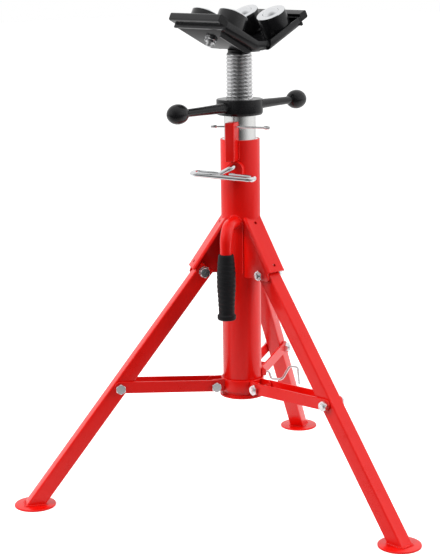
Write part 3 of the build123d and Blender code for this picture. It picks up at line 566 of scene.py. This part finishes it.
for name, bearing in BEARINGS.items():
    tube = piece(f"leg_{name}_skin", on_bearing(leg_tube(), bearing), red, f"leg_{name}", [f"leg_tube_{name}"], sharp=24)
    knee = np.array([PIVOT_R, PIVOT_Z]) + KNEE * down
    bores = joined(
        rod(BOLT_R + 0.06, (PIVOT_R, -30, PIVOT_Z), (PIVOT_R, 30, PIVOT_Z), 32),
        rod(BOLT_R + 0.4, (knee[0], -30, knee[1]), (knee[0], 30, knee[1]), 32),
    )
    drilled(tube, on_bearing(bores, bearing), 24)
    shape = rounded([(0, 0), (FOOT_R, 0), (FOOT_R, FOOT_THICK), (0, FOOT_THICK)], (0, 0.7, 1.0, 0), 4)
    piece(f"foot_{name}_skin", on_bearing(turned(shape, 96, False), bearing, out=FOOT_OUT), red, f"leg_{name}", [f"foot_disc_{name}"])
    half_out = LEG_HALF / np.cos(LEG_TILT) + 0.5
    centre = PIVOT_R + (PIVOT_Z - FOOT_THICK) * np.tan(LEG_TILT)
    square = rounded([(-half_out, -LEG_HALF - 0.5), (half_out, -LEG_HALF - 0.5), (half_out, LEG_HALF + 0.5), (-half_out, LEG_HALF + 0.5)], 3.5, 5)
    line = np.concatenate([square, square[:1]])
    line = np.stack([centre + line[:, 0], line[:, 1], FOOT_THICK + 0.4 + 0 * line[:, 0]], -1)
    piece(f"foot_{name}_weld", on_bearing(bead(line, 1.9), bearing), red, f"leg_{name}")

# Links: steel channels open upward, folded from plate, between the collar
# and each leg's knee, with the knee bolt's head and nut on their cheeks.
COLLAR_R = 47.5
COLLAR_Z = 184.5
LINK_HALF = 16.4
LINK_IN = 13.4
knee = np.array([PIVOT_R, PIVOT_Z]) + KNEE * down
reach = knee - (COLLAR_R, COLLAR_Z)
LINK_LONG = np.linalg.norm(reach)
along = reach / LINK_LONG
raise_ = np.array([-along[1], along[0]])


def in_link(points):
    """(along, up) in a link to (outward, up) at its bearing."""
    p = np.array(points, float)
    return np.array([COLLAR_R, COLLAR_Z]) + p[:, :1] * along + p[:, 1:] * raise_


END = 9.5
ends = [(-END, -8), (LINK_LONG + END, -8), (LINK_LONG + END, 11), (-END, 11)]
cheek = in_link(rounded(ends, END - 0.05, 12))
web = in_link([(15, -8), (LINK_LONG - 72, -8), (LINK_LONG - 72, -5), (15, -5)])
stub = joined(hexagon(HEX, LINK_HALF, LINK_HALF + 6.0), rod(BOLT_R, (0, 0, LINK_IN), (0, 0, LINK_HALF)))
nut = joined(
    hexagon(HEX, LINK_HALF, LINK_HALF + 6.0, bore=BOLT_R - 0.6),
    threaded(BOLT_R, LINK_HALF, LINK_HALF + 8.4),
    rod(BOLT_R, (0, 0, LINK_IN), (0, 0, LINK_HALF)),
)
for name, bearing in BEARINGS.items():
    channel = joined(slab(cheek, -LINK_HALF, -LINK_IN), slab(cheek, LINK_IN, LINK_HALF), slab(web, -LINK_IN, LINK_IN))
    piece(f"link_{name}_skin", on_bearing(channel, bearing), red, f"link_{name}", [f"link_{name}"], bevel=0.6)
    both = joined(across_leg(stub, knee[0], knee[1]), across_leg(nut, knee[0], knee[1], True))
    piece(f"knee_bolt_{name}_skin", on_bearing(both, bearing), zinc, f"link_{name}", [f"knee_bolt_{name}"])

# Sliding collar: a turned ring with three pairs of welded lugs between the
# links' cheeks, their bolts, and the block that carries the lock pin.
RING_R = 35.21
RING_BORE = 31.81
RING_LOW = 176.0
RING_HIGH = 196.0
LUG_OUT = 13.0
LUG_IN = 10.0
piece("collar_ring_skin", pipe(RING_R, RING_BORE, RING_LOW, RING_HIGH, 1.0, 96), red, "collar", ["collar_ring"])
lug_line = rounded([(33.0, RING_LOW), (58, RING_LOW), (58, 191), (52, RING_HIGH), (33.0, RING_HIGH)], (0.3, 3, 3, 3, 0.3), 5)
lugs, bolts, nuts = [], [], []
for bearing in BEARINGS.values():
    for side in (-1, 1):
        lug = slab(lug_line, *sorted((side * LUG_IN, side * LUG_OUT)))
        lugs.append(on_bearing(lug, bearing))
    head = joined(hexagon(HEX, LINK_HALF + 0.3, LINK_HALF + 5.3), rod(BOLT_R, (0, 0, -LINK_HALF), (0, 0, LINK_HALF + 0.3)))
    bolts.append(on_bearing(across_leg(head, COLLAR_R, COLLAR_Z), bearing))
    bolts.append(on_bearing(across_leg(threaded(BOLT_R, LINK_HALF, LINK_HALF + 7.4), COLLAR_R, COLLAR_Z, True), bearing))
    nuts.append(on_bearing(across_leg(hexagon(HEX, LINK_HALF + 0.3, LINK_HALF + 5.3, bore=BOLT_R), COLLAR_R, COLLAR_Z, True), bearing))
piece("collar_lugs_skin", joined(*lugs), red, "collar", ["collar_lugs"], bevel=0.5)
piece("collar_bolts_skin", joined(*bolts), zinc, "collar", ["collar_bolts"])
piece("collar_nuts_skin", joined(*nuts), zinc, "collar", ["collar_nuts"])

block_line = rounded([(31.9, RING_HIGH), (39.0, RING_HIGH), (39.0, 207.0), (31.9, 207.0)], (0.2, 0.2, 3.0, 0.4), 4)
block = piece("lock_block_skin", on_bearing(slab(block_line, -8, 8), LOCK_BEARING), red, "collar", ["lock_block"], bevel=0.8)
drilled(block, on_bearing(rod(3.06, (25, 0, LOCK_Z), (50, 0, LOCK_Z)), LOCK_BEARING))


# Lock pin: a turned pin on the end of a piece of springy round wire, which
# is bent into a handle and left open.
def swept(path, radius, normal, around=24):
    """Round wire along a path. At each point the ring stands square to the
    path; its first direction is square to the path and to one fixed normal."""
    p = np.array(path, float)
    way = np.gradient(p, axis=0)
    way /= np.linalg.norm(way, axis=1, keepdims=True)
    side = np.cross(way, normal)
    side /= np.linalg.norm(side, axis=1, keepdims=True)
    other = np.cross(way, side)
    a = np.arange(around) * 2 * np.pi / around
    ring = np.cos(a)[None, :, None] * side[:, None] + np.sin(a)[None, :, None] * other[:, None]
    r = np.broadcast_to(np.asarray(radius, float), len(p))
    edge = min(0.7, r.min() * 0.3)
    first = p[:1] - way[:1] * 0.001
    last = p[-1:] + way[-1:] * 0.001
    centres = np.concatenate([first, first, p, last, last])
    rings = np.concatenate([ring[:1], ring[:1], ring, ring[-1:], ring[-1:]])
    size = np.concatenate([[0, r[0] - edge], r, [r[-1] - edge, 0]])
    grid = centres[:, None] + size[:, None, None] * rings
    return grid.reshape(-1, 3), quads(len(centres), around)


wire_line = rounded(
    [(40.0, 0, LOCK_Z), (45.6, 0, LOCK_Z), (49.5, 0, 187.0), (68.0, 0, 184.5), (81.0, 0, 206.5), (95.0, 0, 204.0), (97.5, 0, 174.5)],
    (4.5, 4.5, 7.5, 6.5, 5.5), 10, False,
)
pin = joined(rod(3.0, (32.35, 0, LOCK_Z), (40.5, 0, LOCK_Z), 32, 0.6), swept(wire_line, 2.0, (0, 1, 0)))
piece("lock_pin_skin", on_bearing(pin, LOCK_BEARING), zinc, "lock", ["lock_pin"])

# Guide bar: short square bar with a drilled cross hole, welded upright on
# the column's top edge. A thin rod with a ferrule on each end hangs in it.
HANDLE_BEARING = 210.0
GUIDE_HALF = 7.4
ROD_Z = 615.0
ROD_OUT = 44.0
bar_line = rounded([(30.6, -GUIDE_HALF), (56.0, -GUIDE_HALF), (56.0, GUIDE_HALF), (30.6, GUIDE_HALF)], (0.2, 2.0, 2.0, 0.2), 5)
n = len(bar_line)
levels = np.array([561.0, 562.2, 620.6, 621.7, 622.0])
shrink = np.array([0.93, 1.0, 1.0, 0.97, 0.90])
middle = np.array([43.3, 0.0])
rows = middle + shrink[:, None, None] * (bar_line - middle)
bar = np.concatenate([rows, np.broadcast_to(levels[:, None, None], (5, n, 1))], -1).reshape(-1, 3)
bar = (bar, quads(5, n).tolist() + [list(range(n))[::-1], list(range(4 * n, 5 * n))])
guide = piece("guide_bar_skin", on_bearing(bar, HANDLE_BEARING), red, "column", ["guide_bar"])
drilled(guide, on_bearing(rod(1.8, (ROD_OUT, -20, ROD_Z), (ROD_OUT, 20, ROD_Z)), HANDLE_BEARING))
side_r = (COLUMN_R**2 - GUIDE_HALF**2) ** 0.5
guide_welds = [on_bearing(bead([(side_r + 0.5, s * (GUIDE_HALF + 0.5), 562), (side_r + 0.5, s * (GUIDE_HALF + 0.5), 591)], 1.5), HANDLE_BEARING) for s in (-1, 1)]
piece("guide_bar_weld", joined(*guide_welds), red, "column")

ROD_SHIFT = 14.5
s = np.linspace(-48.3, 48.3, 121)
end_gap = 48.3 - np.abs(s)
thick = np.where(end_gap < 9.5, 2.9 - 1.1 * (np.clip(end_gap / 9.5, 0, 1) - 0.45) ** 2 * 2, 1.6)
rod_line = np.stack([0 * s + ROD_OUT, s + ROD_SHIFT, 0 * s + ROD_Z], -1)
piece("cross_rod_skin", on_bearing(swept(rod_line, thick, (0, 0, 1)), HANDLE_BEARING), zinc, "rod", ["cross_rod"])

# Pin boss and height pin: an arched block welded to the column, and a chromed
# bar whose straight end is the pin and whose rest is bent to a pull loop.
arch = rounded([(-14.0, 532.0), (14.0, 532.0), (14.0, 559.6), (-14.0, 559.6)], (1.0, 1.0, 13.9, 13.9), 14)
n = len(arch)
outs = np.array([27.5, 38.6, 39.7, 40.0])
shrink = np.array([1.0, 1.0, 0.97, 0.90])
middle = np.array([0.0, 545.0])
rows = middle + shrink[:, None, None] * (arch - middle)
boss = np.concatenate([np.broadcast_to(outs[:, None, None], (4, n, 1)), rows], -1).reshape(-1, 3)
boss = (boss, quads(4, n).tolist() + [list(range(n))[::-1], list(range(3 * n, 4 * n))])
boss_obj = piece("pin_boss_skin", on_bearing(boss, PIN_BEARING), red, "column", ["pin_boss"])
drilled(boss_obj, joined(
    on_bearing(rod(4.06, (20, 0, PIN_Z), (60, 0, PIN_Z), 32), PIN_BEARING),
    rod(COLUMN_R - 0.05, (0, 0, 500), (0, 0, 600), 96),
))

chrome = finish(
    "bright_chrome", (0.68, 0.69, 0.71), (0.80, 0.81, 0.82), (0.05, 0.12),
    fine=500.0, broad=40.0, bump=0.02, depth=0.0001, Metallic=1.0,
)
LOOP_DROP = 12.5
LEAN = np.radians(-4.2)
loop = rounded(
    [
        (25.9, 0, 0), (52.0, 0, 0), (52.0, -20, -LOOP_DROP), (52.0, -60, -LOOP_DROP), (76.0, -60, -LOOP_DROP),
        (76.0, 38, -LOOP_DROP), (52.0, 38, -LOOP_DROP), (52.0, -4, -LOOP_DROP),
    ],
    9.0, 12, False,
)
lean = loop.copy()
lean[:, 1] = loop[:, 1] * np.cos(LEAN) - loop[:, 2] * np.sin(LEAN)
lean[:, 2] = loop[:, 1] * np.sin(LEAN) + loop[:, 2] * np.cos(LEAN) + PIN_Z
piece("height_pin_skin", on_bearing(swept(lean, 4.0, (0.02, 0.07, 1), 32), PIN_BEARING), chrome, "height", ["height_pin"])

# Carry handle: round tube welded square to the column and bent down, with a
# soft moulded grip pushed on. The grip's ribs wind round it.
HANDLE_OUT = 79.0
HANDLE_Z = 461.0
GRIP_TOP = 417.0
GRIP_LOW = 311.0
stem = rounded([(30.5, 0, HANDLE_Z), (HANDLE_OUT, 0, HANDLE_Z), (HANDLE_OUT, 0, GRIP_LOW + 4)], 26.0, 24, False)
piece("carry_tube_skin", on_bearing(swept(stem, 9.5, (0, 1, 0), 40), HANDLE_BEARING), red, "column", ["carry_tube"])
turn = np.linspace(0, 2 * np.pi, 49)
saddle = np.stack([(COLUMN_R**2 - (9.8 * np.cos(turn)) ** 2) ** 0.5 + 0.3, 9.8 * np.cos(turn), HANDLE_Z + 9.8 * np.sin(turn)], -1)
piece("carry_tube_weld", on_bearing(bead(saddle, 1.7), HANDLE_BEARING), red, "column")

rubber = finish(
    "black_rubber", (0.005, 0.005, 0.006), (0.011, 0.011, 0.012), (0.40, 0.58),
    fine=2200.0, broad=50.0, bump=0.15, depth=0.0002, Specular_IOR_Level=0.18,
)


def ribbed_grip(around=96, rows=260):
    """r(a, z): a barrel with an end flange, on which raised ribs of a
    rounded square wave of z / pitch + 2 a / turn wind across the hand's side."""
    z = np.linspace(GRIP_LOW, GRIP_TOP, rows)
    a = np.arange(around) * 2 * np.pi / around
    knots_z = [GRIP_LOW, 313, 318, 320, 323, 345, 365, 385, 400, 413, 416, GRIP_TOP]
    knots_r = [13.6, 14.9, 14.9, 12.9, 12.6, 13.6, 14.9, 14.9, 13.9, 12.7, 12.0, 11.0]
    base = np.interp(z, knots_z, knots_r)
    wave = np.sin(2 * np.pi * (z[:, None] / 7.5 + 2 * a / (2 * np.pi)))
    rib = 1 / (1 + np.exp(-6 * wave)) - 0.5
    inside = np.clip((z - 326) / 4, 0, 1) * np.clip((408 - z) / 4, 0, 1)
    r = base[:, None] + 0.45 * rib * inside[:, None]
    r = np.concatenate([0 * r[:1], r, 0 * r[:1]])
    zz = np.concatenate([z[:1], z, z[-1:]])
    grid = np.stack([r * np.cos(a), r * np.sin(a), zz[:, None] + 0 * a], -1)
    return grid.reshape(-1, 3), quads(len(zz), around)


piece("handle_grip_skin", on_bearing(ribbed_grip(), HANDLE_BEARING, out=HANDLE_OUT), rubber, "column", ["handle_grip"], sharp=50)

# Telescoping tube: drawn steel, zinc plated, drilled in one wall for the
# height pin, with a turned guide ring on its foot and a small screw key.
drawn = finish(
    "drawn_zinc_tube", (0.72, 0.72, 0.71), (0.86, 0.86, 0.85), (0.18, 0.28),
    fine=420.0, broad=14.0, stretch=0.06, bump=0.10, depth=0.0001, Metallic=1.0,
)
TUBE_R = 25.4
TUBE_BORE = 22.2
TUBE_TOP = 630.3
inner = piece("inner_tube_skin", pipe(TUBE_R, TUBE_BORE, COLUMN_FOOT, TUBE_TOP, 0.5, 128), drawn, "inner", ["inner_tube"])
drilled(inner, joined(*[
    on_bearing(rod(4.2, (10, 0, PIN_Z - 50.0 * k), (30, 0, PIN_Z - 50.0 * k), 28), PIN_BEARING) for k in range(7)
]))
piece("tube_foot_ring_skin", pipe(28.49, TUBE_R, COLUMN_FOOT, COLUMN_FOOT + 18, 0.8, 96), drawn, "inner", ["tube_foot_ring"])
key_line = rounded([(18.8, 600.0), (22.3, 600.0), (22.3, 625.0), (18.8, 625.0)], 0.4, 3)
piece("screw_key_skin", on_bearing(slab(key_line, -2.5, 2.5), 30.0), drawn, "inner", ["screw_key"])


# Screw: a hollow steel bar with a coarse trapezoid thread cut on it, zinc
# plated, slotted down its back for the key, with a stop ring on its foot.
SCREW_R = 21.4
PITCH = 6.0
THREAD = 1.7
SCREW_LOW = 560.0
SCREW_TOP = 728.4
SLOT_HALF = np.radians(7.1)


def jack_screw(rows_a_turn=14):
    """r(a, z) = crest radius less the thread's depth times a trapezoid wave
    of z / pitch - a / turn, and no more than the slot's floor where the
    bearing is within the slot."""
    z = np.arange(SCREW_LOW + 9, SCREW_TOP - 0.9, PITCH / rows_a_turn)
    a = np.sort(np.concatenate([
        np.linspace(0, 2 * np.pi, 120, endpoint=False),
        np.radians(30) + np.array([-1.0, -0.999, 0.999, 1.0]) * SLOT_HALF,
    ]))
    phase = (z[:, None] / PITCH - a / (2 * np.pi)) % 1
    wave = np.clip((np.abs(2 * phase - 1) - 0.30) / 0.34, 0, 1)
    wave = wave * wave * (3 - 2 * wave)
    start = np.clip((SCREW_TOP - 1 - z) / 3.0, 0, 1)[:, None]
    r = SCREW_R - THREAD * (1 - (1 - wave) * start)
    core = SCREW_R - THREAD
    ends = np.array([[core, SCREW_LOW], [core, SCREW_LOW + 8.8]])
    top = np.array([[core, SCREW_TOP - 0.8], [core - 0.8, SCREW_TOP]])
    bore = np.array([[13.0, SCREW_TOP], [13.0, SCREW_LOW]])
    n = len(a)
    r = np.concatenate([ends[:, :1] + 0 * a, r, top[:, :1] + 0 * a])
    zz = np.concatenate([ends[:, 1], z, top[:, 1]])
    slot = np.abs(a - np.radians(30)) < SLOT_HALF * 0.9995
    r = np.where(slot[None, :], np.minimum(r, 18.5 / np.cos(a - np.radians(30))[None, :]), r)
    r = np.concatenate([r, bore[:, :1] + 0 * a])
    zz = np.concatenate([zz, bore[:, 1]])
    grid = np.stack([r * np.cos(a), r * np.sin(a), zz[:, None] + 0 * a], -1)
    return grid.reshape(-1, 3), quads(len(zz), n, wrap_rows=True)


cut_thread = finish(
    "cut_thread_zinc", (0.80, 0.80, 0.81), (0.92, 0.92, 0.93), (0.14, 0.24),
    fine=600.0, broad=90.0, bump=0.08, depth=0.0001, Metallic=1.0,
)
# Painted shade in the thread's groove: the colour falls off with depth,
# measured as the distance from the screw's own line.
tree = cut_thread.node_tree
skin = next(node for node in tree.nodes if node.type == "BSDF_PRINCIPLED")
bright = skin.inputs["Base Color"].links[0].from_socket
spot = tree.nodes.new("ShaderNodeTexCoord")
flat = tree.nodes.new("ShaderNodeVectorMath")
flat.operation = "MULTIPLY"
flat.inputs[1].default_value = (1, 1, 0)
reach = tree.nodes.new("ShaderNodeVectorMath")
reach.operation = "LENGTH"
groove_shade_depth = tree.nodes.new("ShaderNodeMapRange")
groove_shade_depth.inputs["From Min"].default_value = (SCREW_R - THREAD) * MM
groove_shade_depth.inputs["From Max"].default_value = (SCREW_R - 0.2) * MM
groove_shade_depth.inputs["To Min"].default_value = 0.62
groove_painted_shade = tree.nodes.new("ShaderNodeMixRGB")
groove_painted_shade.inputs["Color1"].default_value = (0.0, 0.0, 0.0, 1)
tree.links.new(spot.outputs["Object"], flat.inputs[0])
tree.links.new(flat.outputs[0], reach.inputs[0])
tree.links.new(reach.outputs["Value"], groove_shade_depth.inputs["Value"])
tree.links.new(groove_shade_depth.outputs[0], groove_painted_shade.inputs["Fac"])
tree.links.new(bright, groove_painted_shade.inputs["Color2"])
tree.links.new(groove_painted_shade.outputs[0], skin.inputs["Base Color"])
piece("screw_skin", jack_screw(), cut_thread, "screw", ["screw"], sharp=50)
stop = piece("stop_ring_skin", pipe(21.9, 19.75, SCREW_LOW, SCREW_LOW + 8, 0.5, 96), cut_thread, "screw", ["stop_ring"])
slot_line = [(18.0, SCREW_LOW - 5), (24.0, SCREW_LOW - 5), (24.0, SCREW_LOW + 13), (18.0, SCREW_LOW + 13)]
drilled(stop, on_bearing(slab(slot_line, -2.6, 2.6), 30.0))

# Handwheel hub: a black cast nut on the tube's top, with two tapering arms
# and oval knobs cast on their ends.
cast = finish(
    "black_cast", (0.004, 0.004, 0.0045), (0.010, 0.010, 0.011), (0.20, 0.34),
    fine=520.0, broad=30.0, bump=0.08, depth=0.0003, Specular_IOR_Level=0.30, Coat_Weight=0.06, Coat_Roughness=0.12,
)
ARM_BEARING = 7.0
ARM_Z = 643.0
HUB_R = 37.3
KNOB_OUT = 145.0
hub_line = rounded([(21.46, TUBE_TOP), (HUB_R - 1.5, TUBE_TOP), (HUB_R, 634.0), (HUB_R, 655.5), (21.46, 655.5)], (0.6, 2.0, 2.0, 1.4, 0.8), 5)
piece("hub_skin", turned(hub_line, 96), cast, "handwheel", ["hub"])


def along_arm(profile, around=40, flat=1.0):
    """Turned shape about the arm's own line: profile gives (distance out,
    radius); flat squeezes its height."""
    p = np.array(profile, float)
    a = np.arange(around) * 2 * np.pi / around
    grid = np.stack([p[:, :1] + 0 * a, p[:, 1:] * np.cos(a), ARM_Z + flat * p[:, 1:] * np.sin(a)], -1)
    return grid.reshape(-1, 3), quads(len(p), around)


swing = np.linspace(0, np.pi, 40)
arms, knobs = [], []
for turn in (0, 180):
    arm = along_arm([(30, 0), (30, 9.6), (40, 8.6), (60, 7.5), (90, 6.7), (126, 6.2), (140, 6.2), (140, 0)])
    arms.append(on_bearing(arm, ARM_BEARING + turn))
    oval = np.stack([KNOB_OUT - 19.0 * np.cos(swing), 15.6 * np.sin(swing) ** 0.94], -1)
    knobs.append(on_bearing(along_arm(oval, 56), ARM_BEARING + turn))
piece("hub_arms_skin", joined(*arms), cast, "handwheel", ["hub_arms"])
piece("hub_knobs_skin", joined(*knobs), cast, "handwheel", ["hub_knobs"], sharp=60)

# Head: a black steel plate bent to a V with a flat fold, its long edges
# turned up, on a turned spigot that swivels in the screw's bore.
satin = finish(
    "black_satin_paint", (0.004, 0.004, 0.0045), (0.009, 0.009, 0.010), (0.18, 0.30),
    fine=1100.0, broad=22.0, bump=0.14, depth=0.00015, Specular_IOR_Level=0.34, Coat_Weight=0.05, Coat_Roughness=0.15,
)
spigot = rounded([(0, 686.4), (12.94, 686.4), (12.94, SCREW_TOP), (18.3, SCREW_TOP), (18.3, 733.4), (0, 733.4)], (0, 1.4, 0.2, 0.6, 0.3, 0), 4)
piece("head_spigot_skin", turned(spigot, 72, False), satin, "head", ["head_spigot"])
UNDER = 733.4
FOLD = 15.0
WING = np.radians(27.5)
WING_REACH = 82.0
HEAD_HALF = 58.5
PLATE_T = 5.0


def vee_line(n, reach=WING_REACH, bend=18.0):
    """The V's section at one depth above its underside, folds rounded."""
    crease = FOLD - n * np.tan(WING / 2)
    end = reach - n * np.sin(WING)
    top = UNDER + (reach - FOLD) * np.tan(WING) + n * np.cos(WING)
    return rounded([(-end, top), (-crease, UNDER + n), (crease, UNDER + n), (end, top)], bend - n, 12, False)


def folded_plate(section_out, section_in, reach=WING_REACH):
    """Sheet whose section (along the trough, depth) is given by its outer
    and inner lines, point for point, carried along the V at each depth."""
    section = np.concatenate([section_out, section_in[::-1]])
    m = len(section)
    rows = []
    for y, depth in section:
        line = vee_line(depth, reach)
        rows.append(np.stack([line[:, 0], np.full(len(line), y), line[:, 1]], -1))
    n = len(rows[0])
    sides = quads(m, n, wrap_rows=True, wrap_cols=False).tolist()
    ends = []
    for i in range(m // 2 - 1):
        for j in (0, n - 1):
            ends.append([i * n + j, (i + 1) * n + j, (m - 2 - i) * n + j, (m - 1 - i) * n + j])
    return np.concatenate(rows), sides + ends


WALL = 15.0
WALL_T = 3.0
BEND_OUT = 7.5
BEND_IN = 1.5
inner_half = HEAD_HALF - WALL_T
section_out = rounded([(-HEAD_HALF, WALL), (-HEAD_HALF, 0), (HEAD_HALF, 0), (HEAD_HALF, WALL)], BEND_OUT, 8, False)
section_in = rounded([(-inner_half, WALL), (-inner_half, PLATE_T), (inner_half, PLATE_T), (inner_half, WALL)], BEND_IN, 8, False)
vee = piece("head_plate_skin", folded_plate(section_out, section_in), satin, "head", ["head_plate"], bevel=0.6)
NOTCH_TOP = UNDER + WALL + 8
notch = [(3.0, UNDER - 8), (14.0, UNDER - 8), (14.0, NOTCH_TOP), (3.0, NOTCH_TOP)]
gap = [(7.0, UNDER - 8), (14.0, UNDER - 8), (14.0, NOTCH_TOP), (7.0, NOTCH_TOP)]
snip = rounded([(-13.0, UNDER - 8), (8.0, UNDER - 8), (8.0, UNDER + 9.5), (-13.0, UNDER - 0.5)], (0.5, 0.5, 0.5, 0.5), 3)
near = [slab(notch, -inner_half + 0.01, -38.0), slab(gap, -HEAD_HALF - 8, -inner_half + 0.02), slab(snip, -HEAD_HALF - 8, -inner_half)]
for part in near:
    drilled(vee, part)
    drilled(vee, (part[0] * [-1, -1, 1], part[1]))
RIB_DEEP = 9.0
level = UNDER - 1.5
rib_side = RIB_DEEP * np.sin(WING)
rise = (WING_REACH - 4 - FOLD) * np.tan(WING)
turn_x = FOLD + rib_side + (RIB_DEEP * np.cos(WING) - 1.5) / np.tan(WING)
rib_tip = WING_REACH - 4
flat_part = [(0, level), (0, UNDER), (-FOLD, UNDER), (-turn_x, level)]
long_part = [
    (-turn_x, level), (-FOLD, UNDER), (-rib_tip, UNDER + rise),
    (-rib_tip - rib_side, UNDER + rise - RIB_DEEP * np.cos(WING)),
]
rib = joined(slab(flat_part, -48.5, -45.5), slab(long_part, -48.5, -45.5))
both = joined(rib, (rib[0] * [-1, -1, 1], rib[1]))
piece("head_ribs_skin", both, satin, "head", ["head_ribs"], bevel=0.4)

UNIT_X = 55.0
UNIT_Y = 31.5
UNIT_Z = UNDER + (UNIT_X - FOLD) * np.tan(WING) + PLATE_T / np.cos(WING)


def on_wing(part, sign, s=0.0, y=0.0, n=0.0):
    """Part in wing coordinates (up the slope, along the trough, out of the
    plate) to the frame, on the right wing for +1 and the left for -1."""
    p, f = part
    u = p[:, 0] + s
    v = p[:, 2] + n
    x = sign * (UNIT_X + u * np.cos(WING) - v * np.sin(WING))
    z = UNIT_Z + u * np.sin(WING) + v * np.cos(WING)
    return np.stack([x, sign * p[:, 1] + y, z], -1), f


tip = (WING_REACH - UNIT_X) / np.cos(WING) - PLATE_T * np.tan(WING)
tip_line = rounded([(0, 0), (4.0, 0), (4.0, WALL), (0, WALL)], 0.5, 3)
bar_line = rounded([(0, 0), (15.0, 0), (15.0, 13.0), (0, 13.0)], (0.4, 3.2, 3.2, 0.6), 6)
walls, bars = [], []
for sign in (-1, 1):
    walls.append(on_wing(slab(tip_line, -HEAD_HALF, HEAD_HALF), sign, tip, 0, -PLATE_T))
    bars.append(on_wing(slab(bar_line, -HEAD_HALF, HEAD_HALF), sign, tip + 4.0, 0, WALL - PLATE_T - 9.0))
piece("tip_walls_skin", joined(*walls), satin, "head", ["tip_walls"], bevel=0.4)
piece("edge_bars_skin", joined(*bars), satin, "head", ["edge_bars"], bevel=0.8)

# Ball units: black housing cup, thin chromed cap ring with a round mouth and
# a hard chromed ball. A stud with a round head, castle nut and split pin
# holds each wing between its two units.
BALL_R = 16.0
BALL_N = 25.5
CAP_R = 23.6
CAVITY_R = 16.3
cavity = np.linspace(-0.5 * np.pi, np.arcsin((33.0 - BALL_N) / CAVITY_R), 20)
cup = [(0, 0), (CAP_R - 0.6, 0), (CAP_R, 0.8), (CAP_R, 32.2), (CAP_R - 0.5, 33.0)]
cup += list(zip(CAVITY_R * np.cos(cavity[::-1]), BALL_N + CAVITY_R * np.sin(cavity[::-1])))
mouth = np.linspace(np.arcsin((33.0 - BALL_N) / CAVITY_R), np.arcsin((34.5 - BALL_N) / CAVITY_R), 4)
cap = [(CAP_R - 0.2, 33.0), (CAP_R, 33.2), (CAP_R - 0.1, 33.9), (CAP_R - 0.5, 34.3), (CAP_R - 1.1, 34.5)]
cap += list(zip(CAVITY_R * np.cos(mouth[::-1]), BALL_N + CAVITY_R * np.sin(mouth[::-1])))
arc = np.linspace(-0.5 * np.pi, 0.5 * np.pi, 49)
ball = np.stack([BALL_R * np.cos(arc), BALL_N + BALL_R * np.sin(arc)], -1)
hanging, hanging_faces = threaded(5.0, 0, 17.0)
stud = joined(
    rod(5.0, (0, 0, -PLATE_T), (0, 0, 0.0)),
    (hanging * [1, 1, -1] - [0, 0, PLATE_T], hanging_faces),
    turned([(0, 0), (6.2, 0), (6.5, 0.4), (6.4, 1.6), (5.0, 2.6), (2.6, 3.0), (0, 3.0)], 40, False),
)


def castle_nut(low, high, around=72):
    """Hexagon nut whose crown is cut by six slots: r(a) is the hexagon up to
    the crown, then a round crown that drops to the slot floor six times."""
    body = hexagon(17.0, low, low + (high - low) * 0.62, bore=5.0)
    parts = [body]
    for k in range(6):
        a = np.radians(60 * k) + np.linspace(-0.34, 0.34, 7)
        r = np.array([5.0, 7.9])
        z = np.array([low + (high - low) * 0.6, high])
        ring = np.stack(np.broadcast_arrays(r[:, None, None] * np.cos(a)[None, None], r[:, None, None] * np.sin(a)[None, None], z[None, :, None]), -1)
        block = np.concatenate([ring[0, 0], ring[1, 0][::-1], ring[0, 1], ring[1, 1][::-1]])
        parts.append((block, quads(2, 14).tolist() + [list(range(14)), list(range(27, 13, -1))]))
    return joined(*parts)


below = castle_nut(0, 9.0)
below = (below[0] * [1, 1, -1] - [0, 0, PLATE_T], below[1])
pin_n = -PLATE_T - 7.0
eye = np.linspace(0.25 * np.pi, 1.75 * np.pi, 20)
split = swept(np.concatenate([
    [(11.5, 0.5, pin_n - 3.0), (9.2, 0.5, pin_n - 0.4)],
    np.stack([-9.5 - 1.9 * (1 - np.cos(eye)) * 0.5 - 0 * eye, 0 * eye + 0.4, pin_n + 1.3 * np.sin(eye)], -1),
    [(9.2, -0.5, pin_n - 0.4), (11.5, -0.5, pin_n + 3.0)],
]), 0.8, (0, 1, 0.01), 10)
corners = {(-1, -1): "a", (1, -1): "b", (1, 1): "c", (-1, 1): "d"}
caps, studs, castles, splits = [], [], [], []
for (sx, sy), name in corners.items():
    y = sy * UNIT_Y
    piece(f"housing_{name}_skin", on_wing(turned(cup, 72, False), sx, 0, y), satin, "head", [f"housing_{name}"])
    piece(f"ball_{name}_skin", on_wing(turned(ball, 72, False), sx, 0, y), chrome, f"ball_{name}", [f"ball_{name}"], sharp=60)
    caps.append(on_wing(turned(cap, 72), sx, 0, y))
for sign in (-1, 1):
    studs.append(on_wing(stud, sign))
    castles.append(on_wing(below, sign))
    splits.append(on_wing(split, sign))
piece("unit_caps_skin", joined(*caps), chrome, "head", ["unit_caps"])
piece("wing_studs_skin", joined(*studs), zinc, "head", ["wing_studs"])
piece("wing_nuts_skin", joined(*castles), zinc, "head", ["wing_nuts"])
piece("split_pins_skin", joined(*splits), zinc, "head", ["split_pins"])
